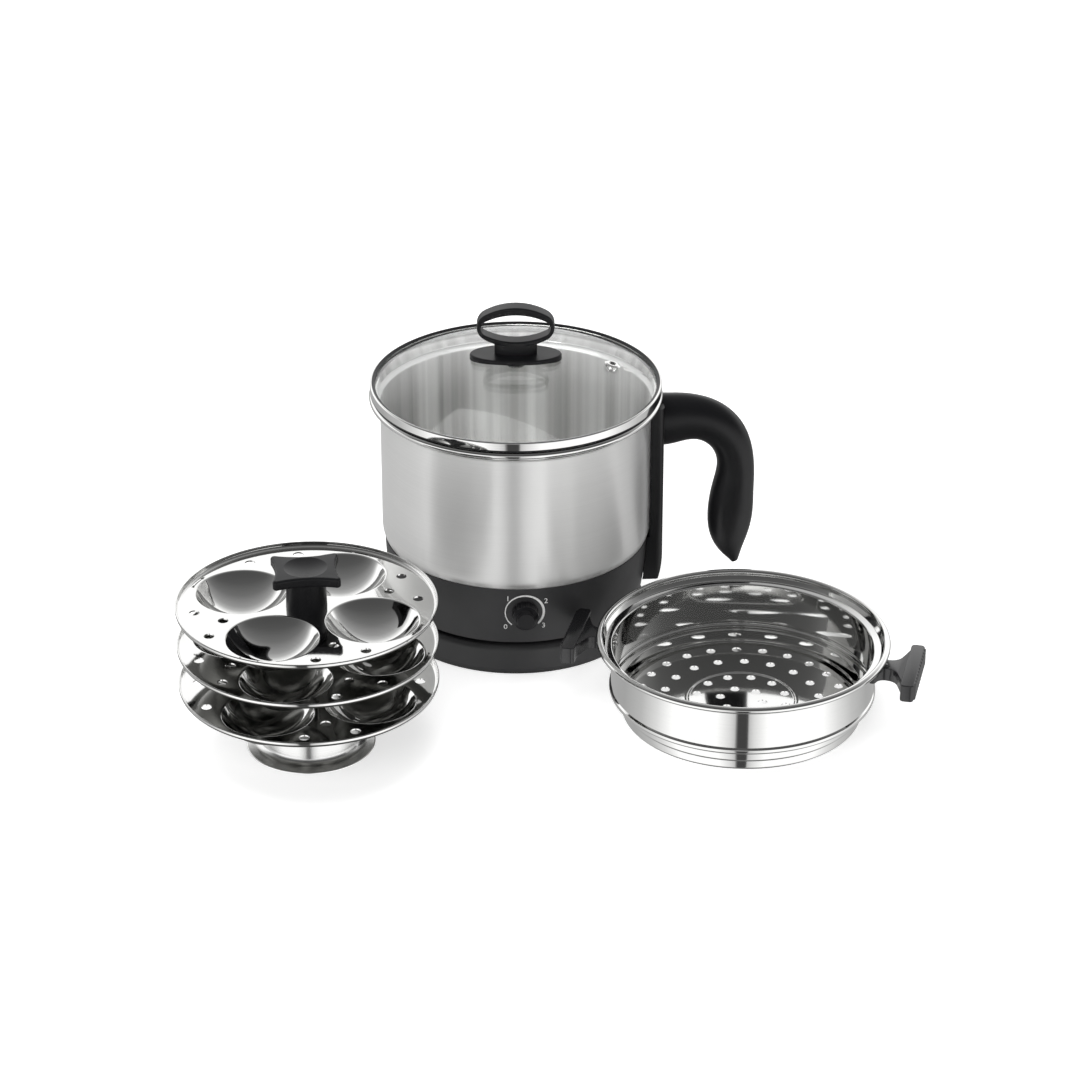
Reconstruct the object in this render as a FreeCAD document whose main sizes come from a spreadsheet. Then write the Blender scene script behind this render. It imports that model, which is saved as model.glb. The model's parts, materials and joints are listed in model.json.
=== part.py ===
import FreeCAD, Part
import math
import os
import re
import Sketcher
from FreeCAD import Placement, Rotation, Vector

# Idli steamer: an electric kettle with a glass lid on its power base, a rack of
# three idli plates and a steamer basket. Lengths are in mm and angles in degrees.
# Origin: on the table, under the kettle's axis. The handle points to +X, the dial
# faces -Y and +Z is up.

# A text that starts with "=" is worked out from the sizes above it.
SIZES = {
    # main sizes
    "pot_radius": 74,
    "pot_height": 91,
    "plate_radius": 68,
    "basket_radius": 70,
    "sheet_thickness": 0.8,
    # power base
    "base_radius": "=pot_radius - 4",
    "base_height": 17,
    "base_wall": 2.4,
    "base_edge_round": 3,
    "seat_radius": "=base_radius - 20",
    "stand_gap": 2.5,
    "connector_radius": 16.5,
    "connector_rise": 8.5,
    "cover_thickness": 2,
    "base_screw_circle": "=base_radius - 14",
    "foot_pad_radius": 7,
    "cord_hole_radius": 3.2,
    "screw_radius": 1.5,
    "screw_head_radius": 3.2,
    # kettle
    "collar_top_radius": "=pot_radius - 1.4",
    "collar_low_radius": "=collar_top_radius - 3.6",
    "collar_height": 34,
    "collar_wall": 2.6,
    "collar_bulge": 200,
    "kettle_floor_thickness": 2.5,
    "boss_circle": "=collar_low_radius - 6",
    "pot_corner": 16,
    "pot_sink": 8.5,
    "rim_radius": "=pot_radius + 6",
    "rim_bead": 2,
    "flare_rise": 4,
    "heat_plate_radius": "=pot_radius - 24",
    "heat_plate_thickness": 4,
    "element_circle": "=heat_plate_radius - 10",
    "element_radius": 3.3,
    "cutout_radius": 8,
    "dial_height": 19.7,
    "dial_radius": 7.2,
    "dial_length": 10.6,
    "thermostat_width": 20,
    "thermostat_length": 20,
    "shaft_radius": 3,
    # handle
    "spine_width": 30,
    "spine_thickness": 6,
    "spine_toe": 3,
    "spine_toe_rise": 16,
    "spine_drop": 27,
    "handle_reach": 46,
    "handle_drop": "=pot_height - 2",
    "handle_depth": 24,
    "handle_screw_low": 11,
    "handle_screw_pitch": 10,
    "bracket_width": 14,
    "bracket_length": "=pot_height - 33",
    # lid
    "glass_edge": 3,
    "dome_rise": 16.5,
    "lid_turn": -4,
    "vent_angle": 3.5,
    "vent_circle": "=pot_radius - 21.6",
    "vent_radius": 2.9,
    "knob_flange_length": 50,
    "knob_flange_width": 24.5,
    "knob_flange_thickness": 1.6,
    "knob_loop_width": 42,
    "knob_loop_height": 23.1,
    "knob_loop_depth": 9,
    "knob_loop_top": 4.4,
    "knob_loop_bottom": 3.1,
    "knob_loop_side": 2.2,
    "knob_loop_end": 8.2,
    "knob_hole_end": 4.5,
    "knob_rise": 29.7,
    "knob_washer_radius": 8,
    "knob_washer_thickness": 1.2,
    # idli rack
    "rack_gap": 35.58,
    "rack_bearing": -131.256,
    "rack_x": "=(pot_radius + plate_radius + rack_gap) * cos(rack_bearing)",
    "rack_y": "=(pot_radius + plate_radius + rack_gap) * sin(rack_bearing)",
    "rack_foot_radius": "=plate_radius / 2",
    "rack_foot_height": 18,
    "rack_drum_radius": "=rack_foot_radius - 8",
    "rod_radius": 3,
    "spacer_radius": 5,
    "plate_lip": 3.8,
    "plate_level": 35,
    "plate_pitch": 22.5,
    "cup_circle": "=plate_radius * 38 / 68",
    "cup_radius": "=plate_radius * 24 / 68",
    "cup_depth": 14,
    "steam_hole_radius": 2.75,
    "lower_turn": -35,
    "middle_turn": -18,
    "upper_turn": -28,
    "rack_knob_length": 37.5,
    "rack_knob_width": 33.2,
    "rack_knob_waist": 46,
    "rack_knob_corner": 2,
    "rack_knob_thickness": 5.4,
    "rack_knob_neck": 10.7,
    "rack_knob_rise": 17.1,
    # steamer basket
    "basket_gap": 17.8,
    "basket_bearing": -45.701,
    "basket_x": "=(pot_radius + basket_radius + basket_gap) * cos(basket_bearing)",
    "basket_y": "=(pot_radius + basket_radius + basket_gap) * sin(basket_bearing)",
    "basket_turn": -17,
    "basket_foot_radius": "=basket_radius - 6",
    "basket_step": 12.7,
    "basket_floor": 5.2,
    "basket_height": 44.5,
    "basket_rim_radius": "=basket_radius + 8",
    "basket_bead": 1.8,
    "basket_hole_radius": 2.5,
    "grip_stand": 25,
    "grip_length": 46,
    "grip_thickness": 9.5,
    # clearances
    "running_gap": 0.5,
    "seat_gap": 0.3,
    "fit_gap": 0.1,
}

# Levels and radii that follow from the sizes
COVER_LOW = "1.5"
COVER_TOP = f"({COVER_LOW} + cover_thickness)"
SEAT = "(base_height + stand_gap)"
KETTLE_FLOOR_TOP = f"({SEAT} + kettle_floor_thickness)"
CONNECTOR_TOP = f"({SEAT} + connector_rise)"
CONNECTOR_HOLE = "(connector_radius + running_gap)"
CONNECTOR_FLANGE = f"({SEAT} - base_wall)"
COUPLER_INSIDE = "(connector_radius + running_gap + 0.2)"
COUPLER_OUTSIDE = f"({COUPLER_INSIDE} + 2.8)"
COUPLER_CEILING = f"({CONNECTOR_TOP} + running_gap)"
COLLAR_TOP = f"({SEAT} + collar_height)"
POT_LOW = f"({COLLAR_TOP} - pot_sink)"
BEAD_LEVEL = f"({POT_LOW} + pot_height)"
FLARE_LOW = f"({BEAD_LEVEL} - flare_rise - 5.5)"
FLARE_RADIUS = "(rim_radius - rim_bead - 0.4)"
POT_AT_COLLAR = "(pot_radius - pot_corner + sqrt(pot_corner ^ 2 - (pot_corner - pot_sink) ^ 2))"
HEAT_PLATE_LOW = f"({POT_LOW} - heat_plate_thickness)"
DIAL_LEVEL = f"({SEAT} + dial_height)"
DIAL_SLOPE = "(collar_top_radius - collar_low_radius) * dial_height / collar_height"
DIAL_PLANE = f"(collar_low_radius + {DIAL_SLOPE} + collar_height ^ 2 / (8 * collar_bulge) + 0.5)"
SCREW_SHARES = ("handle_screw_low", "(handle_screw_low + handle_screw_pitch)")
SPINE_INSIDE = "(pot_radius + seat_gap)"
SPINE_FACE = f"({SPINE_INSIDE} + spine_thickness)"
SPINE_TOP = f"({FLARE_LOW} + flare_rise)"
HANDLE_LEVEL = f"({SPINE_TOP} - handle_depth / 2)"
LID_LOW = f"({BEAD_LEVEL} + rim_bead + seat_gap)"
GLASS_LOW = f"({LID_LOW} + sheet_thickness)"
GLASS_EDGE_TOP = f"({GLASS_LOW} + glass_edge)"
GLASS_RADIUS = "(rim_radius - 1.5)"
LID_TOP = f"({GLASS_EDGE_TOP} + 2.1)"
DOME_TOP = f"({GLASS_EDGE_TOP} + dome_rise)"
DOME_RADIUS = f"(({GLASS_RADIUS} ^ 2 + dome_rise ^ 2) / (2 * dome_rise))"
LOWER_PLATE = "plate_level"
MIDDLE_PLATE = "(plate_level + plate_pitch)"
UPPER_PLATE = "(plate_level + 2 * plate_pitch)"
RACK_KNOB_LOW = f"({UPPER_PLATE} + sheet_thickness)"
CUP_BALL = "((cup_radius ^ 2 + cup_depth ^ 2) / (2 * cup_depth))"
BASKET_BEAD_LEVEL = "(basket_height - basket_bead)"
BASKET_FLARE_LOW = f"({BASKET_BEAD_LEVEL} - 4.2)"
BASKET_FLARE_RADIUS = "(basket_rim_radius - basket_bead - 0.6)"
GRIP_TOP = f"({BASKET_FLARE_LOW} - 0.4)"
GRIP_REACH = "(basket_radius + grip_stand)"
RIVET_LOW = f"({GRIP_TOP} - 0.75 * grip_thickness)"
RIVET_PITCH = "(0.5 * grip_thickness)"

doc = FreeCAD.newDocument("IdliSteamer")
sheet = doc.addObject("Spreadsheet::Sheet", "Sizes")
for row, (alias, number) in enumerate(SIZES.items(), start=1):
    sheet.set(f"A{row}", alias)
    sheet.set(f"B{row}", str(number))
    sheet.setAlias(f"B{row}", alias)
doc.recompute()

pieces = []


def bound(text):
    """Write each size named in a text as a cell of the sheet."""
    return re.sub(r"[a-z][a-z_]+", lambda word: f"Sizes.{word[0]}" if word[0] in SIZES else word[0], text)


def value(text):
    """Work out a text of sizes as a number."""
    return float(sheet.evalExpression(bound(text)))


def bind(thing, path, text):
    """Tie a property of a feature or sketch to the sheet."""
    thing.setExpression(path, bound(text))


def new_body(label, x="0", y="0", z="0", turn="0", axis=Vector(0, 0, 1)):
    """Start a named piece whose own origin is placed and turned by the sheet."""
    body = doc.addObject("PartDesign::Body", label)
    body.Label = label
    body.Placement = Placement(Vector(0, 0, 0), Rotation(axis, 1))
    bind(body, "Placement.Base.x", x)
    bind(body, "Placement.Base.y", y)
    bind(body, "Placement.Base.z", z)
    bind(body, "Placement.Rotation.Angle", turn)
    pieces.append(body)
    return body


def origin_feature(body, role):
    """Find an axis or plane of a body's own origin."""
    return next(feature for feature in body.Origin.OriginFeatures if feature.Role == role)


def new_sketch(body, plane, x="0", y="0", z="0", lean="0"):
    """Start a sketch on an origin plane, shifted in it (x, y), off it (z) and leaned in it."""
    sketch = body.newObject("Sketcher::SketchObject", f"{body.Label}_sketch")
    sketch.AttachmentSupport = (origin_feature(body, plane), [""])
    sketch.MapMode = "FlatFace"
    sketch.AttachmentOffset = Placement(Vector(0, 0, 0), Rotation(Vector(0, 0, 1), 1))
    bind(sketch, "AttachmentOffset.Base.x", x)
    bind(sketch, "AttachmentOffset.Base.y", y)
    bind(sketch, "AttachmentOffset.Base.z", z)
    bind(sketch, "AttachmentOffset.Rotation.Angle", lean)
    return sketch


def constrain(sketch, rules):
    """Add constraints, each with the text its value is tied to, or None."""
    numbers = sketch.addConstraint([rule for rule, text in rules])
    for number, (rule, text) in zip(numbers, rules):
        if text is not None:
            bind(sketch, f"Constraints[{number}]", text)


def pinned(geometry, end, x, y):
    """Constraints that hold a point of a sketch at two distances from its origin."""
    return [
        (Sketcher.Constraint("DistanceX", -1, 1, geometry, end, value(x)), x),
        (Sketcher.Constraint("DistanceY", -1, 1, geometry, end, value(y)), y),
    ]


def arc_between(start, stop, radius, left):
    """An arc from start to stop that turns left or right."""
    chord = stop - start
    aside = Vector(-chord.y, chord.x, 0).normalize() * (1 if left else -1)
    centre = (start + stop) / 2 + aside * math.sqrt(max(radius ** 2 - chord.Length ** 2 / 4, 0))
    first, last = (start, stop) if left else (stop, start)
    angles = [math.atan2(spot.y - centre.y, spot.x - centre.x) for spot in (first, last)]
    return Part.ArcOfCircle(Part.Circle(centre, Vector(0, 0, 1), radius), *angles)


def draw(sketch, points):
    """Draw a closed outline.

    A point is (x, y) at the end of a line, or (x, y, radius, "left" or "right")
    at the end of an arc that turns that way.
    """
    spots = [Vector(value(point[0]), value(point[1]), 0) for point in points]
    ends = []
    rules = []
    for index, point in enumerate(points):
        start, stop = spots[index - 1], spots[index]
        if len(point) == 2:
            sketch.addGeometry(Part.LineSegment(start, stop), False)
            ends.append((1, 2))
            continue
        left = point[3] == "left"
        radius = value(point[2])
        sketch.addGeometry(arc_between(start, stop, radius, left), False)
        ends.append((1, 2) if left else (2, 1))
        rules.append((Sketcher.Constraint("Radius", index, radius), point[2]))
    for index, point in enumerate(points):
        onward = (index + 1) % len(points)
        joined = Sketcher.Constraint("Coincident", index, ends[index][1], onward, ends[onward][0])
        rules.append((joined, None))
        rules.extend(pinned(index, ends[index][1], point[0], point[1]))
    constrain(sketch, rules)
    return sketch


def draw_circle(sketch, x, y, radius):
    """Draw a circle."""
    circle = Part.Circle(Vector(value(x), value(y), 0), Vector(0, 0, 1), value(radius))
    number = sketch.addGeometry(circle, False)
    rules = [(Sketcher.Constraint("Radius", number, value(radius)), radius)]
    constrain(sketch, rules + pinned(number, 3, x, y))
    return sketch


def draw_oval(sketch, x, y, length, width):
    """Draw an ellipse, its longer axis along the sketch's x."""
    ellipse = Part.Ellipse(Vector(value(x), value(y), 0), value(length) / 2, value(width) / 2)
    number = sketch.addGeometry(ellipse, False)
    sketch.exposeInternalGeometry(number)
    rules = pinned(number, 3, x, y)
    rules.append((Sketcher.Constraint("Horizontal", number + 1), None))
    rules.append((Sketcher.Constraint("Distance", number + 1, value(length)), length))
    rules.append((Sketcher.Constraint("Distance", number + 2, value(width)), width))
    constrain(sketch, rules)
    return sketch


def draw_upright_oval(sketch, width, height):
    """Draw an ellipse about the sketch's origin, its longer axis along the sketch's y."""
    along, across = value(height) / 2, value(width) / 2
    ellipse = Part.Ellipse(Vector(0, along, 0), Vector(across, 0, 0), Vector(0, 0, 0))
    number = sketch.addGeometry(ellipse, False)
    sketch.exposeInternalGeometry(number)
    rules = pinned(number, 3, "0", "0")
    rules.append((Sketcher.Constraint("Vertical", number + 1), None))
    rules.append((Sketcher.Constraint("Distance", number + 1, value(height)), height))
    rules.append((Sketcher.Constraint("Distance", number + 2, value(width)), width))
    constrain(sketch, rules)
    return sketch


def revolve(body, points, cut=False, x="0", z="0", lean="0", angle="360"):
    """Turn an outline about the upright axis of its sketch, to add or to cut."""
    sketch = draw(new_sketch(body, "XZ_Plane", x=x, y=z, lean=lean), points)
    return turn_sketch(body, sketch, cut, angle)


def turn_sketch(body, sketch, cut=False, angle="360"):
    """Revolve a finished sketch."""
    kind = "PartDesign::Groove" if cut else "PartDesign::Revolution"
    feature = body.newObject(kind, f"{body.Label}_turned")
    feature.Profile = sketch
    feature.ReferenceAxis = (sketch, ["V_Axis"])
    bind(feature, "Angle", angle)
    doc.recompute()
    return feature


def extrude(body, sketch, length, cut=False, back=False, both=False):
    """Pad or pocket a finished sketch; back goes against the usual way."""
    feature = body.newObject("PartDesign::Pocket" if cut else "PartDesign::Pad", f"{body.Label}_straight")
    feature.Profile = sketch
    feature.Reversed = back
    if both:
        feature.SideType = "Symmetric"
    bind(feature, "Length", length)
    doc.recompute()
    return feature


def repeat(body, features, count, angle="360"):
    """Repeat features about the body's upright axis."""
    feature = body.newObject("PartDesign::PolarPattern", f"{body.Label}_repeated")
    feature.Originals = features
    feature.Axis = (origin_feature(body, "Z_Axis"), [""])
    feature.Occurrences = count
    bind(feature, "Angle", angle)
    body.Tip = feature
    doc.recompute()
    return feature


def round_edges(body, radius, wanted):
    """Round the edges of a body's last feature that a test picks out."""
    base = body.Tip
    names = [f"Edge{index}" for index, edge in enumerate(base.Shape.Edges, start=1) if wanted(edge)]
    feature = body.newObject("PartDesign::Fillet", f"{body.Label}_rounded")
    feature.Base = (base, names)
    bind(feature, "Radius", radius)
    doc.recompute()
    return feature


def upright_at(x):
    """A test for upright straight edges at one x."""
    place = value(x)

    def matches(edge):
        box = edge.BoundBox
        return box.XLength < 0.01 and box.YLength < 0.01 and abs(box.XMin - place) < 0.01

    return matches


def screws(label, count, circle, turn, head_low, head_depth, shank_top, x="0", y="0"):
    """A ring of identical upright screws with the head below."""
    body = new_body(label, x=x, y=y, turn=turn)
    neck = f"({head_low} + {head_depth})"
    seed = revolve(body, [
        ("0", head_low),
        ("screw_head_radius", head_low),
        ("screw_head_radius", neck),
        ("screw_radius", neck),
        ("screw_radius", shank_top),
        ("0", shank_top),
    ], x=circle)
    repeat(body, [seed], count)


def disc(label, low, height, radius, x="0", y="0"):
    """A plain round piece."""
    cylinder = doc.addObject("Part::Cylinder", label)
    cylinder.Label = label
    bind(cylinder, "Radius", radius)
    bind(cylinder, "Height", height)
    bind(cylinder, "Placement.Base.x", x)
    bind(cylinder, "Placement.Base.y", y)
    bind(cylinder, "Placement.Base.z", low)
    pieces.append(cylinder)


def tube(label, low, top, inside, outside, x="0", y="0"):
    """A plain round sleeve."""
    body = new_body(label, x=x, y=y)
    revolve(body, [(inside, low), (outside, low), (outside, top), (inside, top)])


def power_base():
    """Shell with a raised seat, bottom cover, pads, screws and the connector tower."""
    shell = new_body("power_base_shell")
    inner = "(base_radius - base_wall)"
    revolve(shell, [
        ("base_radius - 1", "0"),
        ("base_radius", "base_edge_round"),
        ("base_radius", "base_height - base_edge_round"),
        ("base_radius - base_edge_round", "base_height", "base_edge_round", "left"),
        ("seat_radius", "base_height"),
        ("seat_radius", SEAT),
        (CONNECTOR_HOLE, SEAT),
        (CONNECTOR_HOLE, CONNECTOR_FLANGE),
        ("seat_radius - base_wall", CONNECTOR_FLANGE),
        ("seat_radius - base_wall", "base_height - base_wall"),
        (inner, "base_height - base_wall"),
        (inner, "0"),
    ])
    spot = ("base_screw_circle * cos(45)", "base_screw_circle * sin(45)")
    boss = draw_circle(new_sketch(shell, "XY_Plane", z=COVER_TOP), *spot, "3 * screw_radius")
    boss = extrude(shell, boss, f"base_height - base_wall - {COVER_TOP} + 0.2")
    bore = draw_circle(new_sketch(shell, "XY_Plane", z=COVER_TOP), *spot, "screw_radius + 0.05")
    bore = extrude(shell, bore, "9", cut=True, back=True)
    repeat(shell, [boss, bore], 4)
    back_wall = new_sketch(shell, "XZ_Plane", z=f"-{inner} + 2")
    inlet = draw_circle(back_wall, "0", "base_height / 2", "cord_hole_radius")
    extrude(shell, inlet, "base_wall + 6", cut=True)

    cover = new_body("power_base_bottom")
    revolve(cover, [
        ("0", COVER_LOW),
        (f"{inner} - fit_gap", COVER_LOW),
        (f"{inner} - fit_gap", COVER_TOP),
        ("0", COVER_TOP),
    ])
    hole = draw_circle(new_sketch(cover, "XY_Plane", z=COVER_LOW), *spot, "screw_radius + 0.3")
    hole = extrude(cover, hole, "cover_thickness", cut=True, back=True)
    well = draw_circle(new_sketch(cover, "XY_Plane", z=COVER_LOW), *spot, "screw_head_radius + 0.3")
    well = extrude(cover, well, "0.6 * cover_thickness", cut=True, back=True)
    repeat(cover, [hole, well], 4)
    screws("power_base_screws", 4, "base_screw_circle", "45", f"{COVER_LOW} + 0.2",
           "0.6 * cover_thickness - 0.2", f"{COVER_TOP} + 8")

    feet = new_body("power_base_feet")
    pad = draw_circle(new_sketch(feet, "XY_Plane"), "base_screw_circle", "0", "foot_pad_radius")
    repeat(feet, [extrude(feet, pad, COVER_LOW)], 4)

    tower = new_body("base_connector")
    low = f"({CONNECTOR_FLANGE} - 2.5)"
    revolve(tower, [
        ("0", low),
        ("connector_radius + 4.5", low),
        ("connector_radius + 4.5", CONNECTOR_FLANGE),
        ("connector_radius", CONNECTOR_FLANGE),
        ("connector_radius", CONNECTOR_TOP),
        ("11", CONNECTOR_TOP),
        ("11", f"{SEAT} + 0.5"),
        ("8", f"{SEAT} + 0.5"),
        ("8", CONNECTOR_TOP),
        ("3", CONNECTOR_TOP),
        ("3", f"{SEAT} - 0.5"),
        ("0", f"{SEAT} - 0.5"),
    ])
    tube("base_ring_contact", f"{SEAT} + 0.5", f"{SEAT} + 1.3", "8.1", "10.9")
    disc("base_pin_contact", f"{SEAT} - 0.5", "0.8", "2.9")


def coupler():
    """Round socket of the kettle that drops over the tower, with its pin and ring."""
    socket = new_body("kettle_coupler")
    revolve(socket, [
        (COUPLER_INSIDE, f"{SEAT} + 0.4"),
        (COUPLER_OUTSIDE, f"{SEAT} + 0.4"),
        (COUPLER_OUTSIDE, KETTLE_FLOOR_TOP),
        (f"{COUPLER_OUTSIDE} + 6", KETTLE_FLOOR_TOP),
        (f"{COUPLER_OUTSIDE} + 6", f"{KETTLE_FLOOR_TOP} + 2.5"),
        (COUPLER_OUTSIDE, f"{KETTLE_FLOOR_TOP} + 2.5"),
        (COUPLER_OUTSIDE, f"{COUPLER_CEILING} + 2.4"),
        ("0", f"{COUPLER_CEILING} + 2.4"),
        ("0", COUPLER_CEILING),
        (COUPLER_INSIDE, COUPLER_CEILING),
    ])
    disc("coupler_pin", f"{SEAT} + 1", f"{COUPLER_CEILING} - {SEAT} - 1", "2.3")
    tube("coupler_ring", f"{SEAT} + 2", COUPLER_CEILING, "8.8", "10.2")


def pot_and_heater():
    """Drawn pot with a flared, rolled rim, and the heater under its floor."""
    pot = new_body("pot")
    outer_turn = f"({POT_LOW} + pot_corner)"
    flare_top = f"({FLARE_LOW} + flare_rise)"
    revolve(pot, [
        ("0", POT_LOW),
        ("pot_radius - pot_corner", POT_LOW),
        ("pot_radius", outer_turn, "pot_corner", "left"),
        ("pot_radius", FLARE_LOW),
        (FLARE_RADIUS, flare_top),
        (FLARE_RADIUS, BEAD_LEVEL),
        (f"{FLARE_RADIUS} - sheet_thickness", BEAD_LEVEL),
        (f"{FLARE_RADIUS} - sheet_thickness", f"{flare_top} + 0.4"),
        ("pot_radius - sheet_thickness", f"{FLARE_LOW} + 0.4"),
        ("pot_radius - sheet_thickness", outer_turn),
        ("pot_radius - pot_corner", f"{POT_LOW} + sheet_thickness", "pot_corner - sheet_thickness", "right"),
        ("0", f"{POT_LOW} + sheet_thickness"),
    ])
    bead = draw_circle(new_sketch(pot, "XZ_Plane"), "rim_radius - rim_bead", BEAD_LEVEL, "rim_bead")
    turn_sketch(pot, bead)

    disc("heat_plate", HEAT_PLATE_LOW, "heat_plate_thickness", "heat_plate_radius")
    element = new_body("heating_element", turn="110")
    tube_level = f"({HEAT_PLATE_LOW} - element_radius - 0.05)"
    ring = draw_circle(new_sketch(element, "XZ_Plane"), "element_circle", tube_level, "element_radius")
    turn_sketch(element, ring, angle="320").Reversed = True
    pin = draw_circle(new_sketch(element, "XY_Plane", z=f"{tube_level} - 9"), "element_circle", "0", "1.8")
    repeat(element, [extrude(element, pin, "9")], 2, angle="320")
    disc("thermal_cutout", f"{HEAT_PLATE_LOW} - 9", "9", "cutout_radius", y="element_circle / 2")


def kettle_base():
    """Collar with its screw bosses, the floor under it, and the thermostat with its dial."""
    collar = new_body("base_collar")
    revolve(collar, [
        ("collar_low_radius", SEAT),
        ("collar_top_radius", COLLAR_TOP, "collar_bulge", "left"),
        (f"{POT_AT_COLLAR} + 0.15", COLLAR_TOP),
        ("collar_top_radius - collar_wall - 0.7", f"{COLLAR_TOP} - 5.4"),
        ("collar_low_radius - collar_wall", SEAT),
    ])
    behind = "collar_low_radius - 8"
    stem = new_sketch(collar, "XZ_Plane", z=behind)
    extrude(collar, draw_circle(stem, "0", DIAL_LEVEL, "shaft_radius + 1.3"), "14", cut=True, back=True)
    for level in SCREW_SHARES:
        hole = new_sketch(collar, "YZ_Plane", z=behind)
        draw_circle(hole, "0", f"{SEAT} + {level}", "screw_radius + 0.3")
        extrude(collar, hole, "14", cut=True, back=True)
    boss = draw_circle(new_sketch(collar, "XY_Plane", z=KETTLE_FLOOR_TOP), "0", "boss_circle", "5")
    boss = extrude(collar, boss, "14")
    bore = new_sketch(collar, "XY_Plane", z=KETTLE_FLOOR_TOP)
    draw_circle(bore, "0", "boss_circle", "screw_radius + 0.05")
    bore = extrude(collar, bore, "12", cut=True, back=True)
    repeat(collar, [boss, bore], 3)

    floor = new_body("kettle_floor")
    edge = "(collar_low_radius - collar_wall - running_gap)"
    revolve(floor, [
        (f"{COUPLER_OUTSIDE} + running_gap", SEAT),
        (edge, SEAT),
        (edge, KETTLE_FLOOR_TOP),
        (f"{COUPLER_OUTSIDE} + running_gap", KETTLE_FLOOR_TOP),
    ])
    hole = draw_circle(new_sketch(floor, "XY_Plane", z=SEAT), "0", "boss_circle", "screw_radius + 0.3")
    hole = extrude(floor, hole, "kettle_floor_thickness", cut=True, back=True)
    well = draw_circle(new_sketch(floor, "XY_Plane", z=SEAT), "0", "boss_circle", "screw_head_radius + 0.2")
    well = extrude(floor, well, "0.6 * kettle_floor_thickness", cut=True, back=True)
    repeat(floor, [hole, well], 3)
    screws("kettle_floor_screws", 3, "boss_circle", "90", f"{SEAT} + 0.2",
           "0.6 * kettle_floor_thickness - 0.2", f"{KETTLE_FLOOR_TOP} + 11")


def thermostat():
    """Thermostat behind the collar, its nut and shaft, and the dial knob."""
    facing = {"y": f"-{DIAL_PLANE}", "z": DIAL_LEVEL, "turn": "90", "axis": Vector(1, 0, 0)}
    neck = "(shaft_radius + 1)"
    body = new_body("thermostat_body", **facing)
    front = "-(collar_wall + 4.2)"
    half = "(thermostat_width / 2)"
    extrude(body, draw(new_sketch(body, "XY_Plane", z=f"{front} - 13"), [
        (f"-{half}", "5 - thermostat_length"),
        (half, "5 - thermostat_length"),
        (half, "5"),
        (f"-{half}", "5"),
    ]), "13")
    revolve(body, [
        ("0", f"{front} - 1"),
        ("shaft_radius + 2", f"{front} - 1"),
        ("shaft_radius + 2", "-(collar_wall + 2.4)"),
        (neck, "-(collar_wall + 2.4)"),
        (neck, "2"),
        ("0", "2"),
    ])
    revolve(body, [
        ("0", f"{front} - 8"),
        ("shaft_radius + seat_gap", f"{front} - 8"),
        ("shaft_radius + seat_gap", "3"),
        ("0", "3"),
    ], cut=True)

    nut = new_body("thermostat_nut", **facing)
    corners = [(f"(shaft_radius + 2.7) * cos({60 * step})", f"(shaft_radius + 2.7) * sin({60 * step})")
               for step in range(6)]
    extrude(nut, draw(new_sketch(nut, "XY_Plane", z="fit_gap"), corners), "1.8")
    bore = draw_circle(new_sketch(nut, "XY_Plane", z="fit_gap"), "0", "0", f"{neck} + 0.05")
    extrude(nut, bore, "1.8", cut=True, back=True)

    shaft = new_body("thermostat_shaft", **facing)
    revolve(shaft, [
        ("0", f"{front} - 7.5"),
        ("shaft_radius", f"{front} - 7.5"),
        ("shaft_radius", "dial_length - 3"),
        ("0", "dial_length - 3"),
    ])

    knob = new_body("dial_knob", **facing)
    revolve(knob, [
        ("shaft_radius + 0.05", "2.4"),
        ("dial_radius - 1", "2.4"),
        ("dial_radius - 1", "0.4"),
        ("dial_radius", "0.4"),
        ("dial_radius - 0.2", "dial_length - 4"),
        ("dial_radius - 1.8", "dial_length - 3"),
        ("dial_radius - 2.2", "dial_length - 0.8"),
        ("dial_radius - 3", "dial_length", "0.8", "left"),
        ("0", "dial_length"),
        ("0", "dial_length - 2.8"),
        ("shaft_radius + 0.05", "dial_length - 2.8"),
    ])
    flute = draw_circle(new_sketch(knob, "XY_Plane", z="0.4"), "dial_radius + 0.75", "0", "1.1")
    repeat(knob, [extrude(knob, flute, "dial_length - 4.6", cut=True, back=True)], 16)


# Stations of the grip from its root to its tip: shares of reach, drop and depth, the
# width as a share of that depth, and the lean of each section.
GRIP_STATIONS = (
    (-0.06, 0.00, 1.24, 0.81, 0),
    (0.25, -0.005, 1.14, 0.81, 4),
    (0.56, 0.025, 1.00, 0.86, 28),
    (0.787, 0.131, 0.91, 0.91, 54),
    (0.89, 0.315, 0.86, 0.95, 83),
    (0.865, 0.495, 0.98, 0.87, 96),
    (0.84, 0.665, 1.04, 0.81, 93),
    (0.835, 0.805, 0.88, 0.82, 86),
    (0.875, 0.930, 0.46, 0.90, 76),
    (0.91, 1.000, 0.16, 0.97, 72),
)


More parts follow.
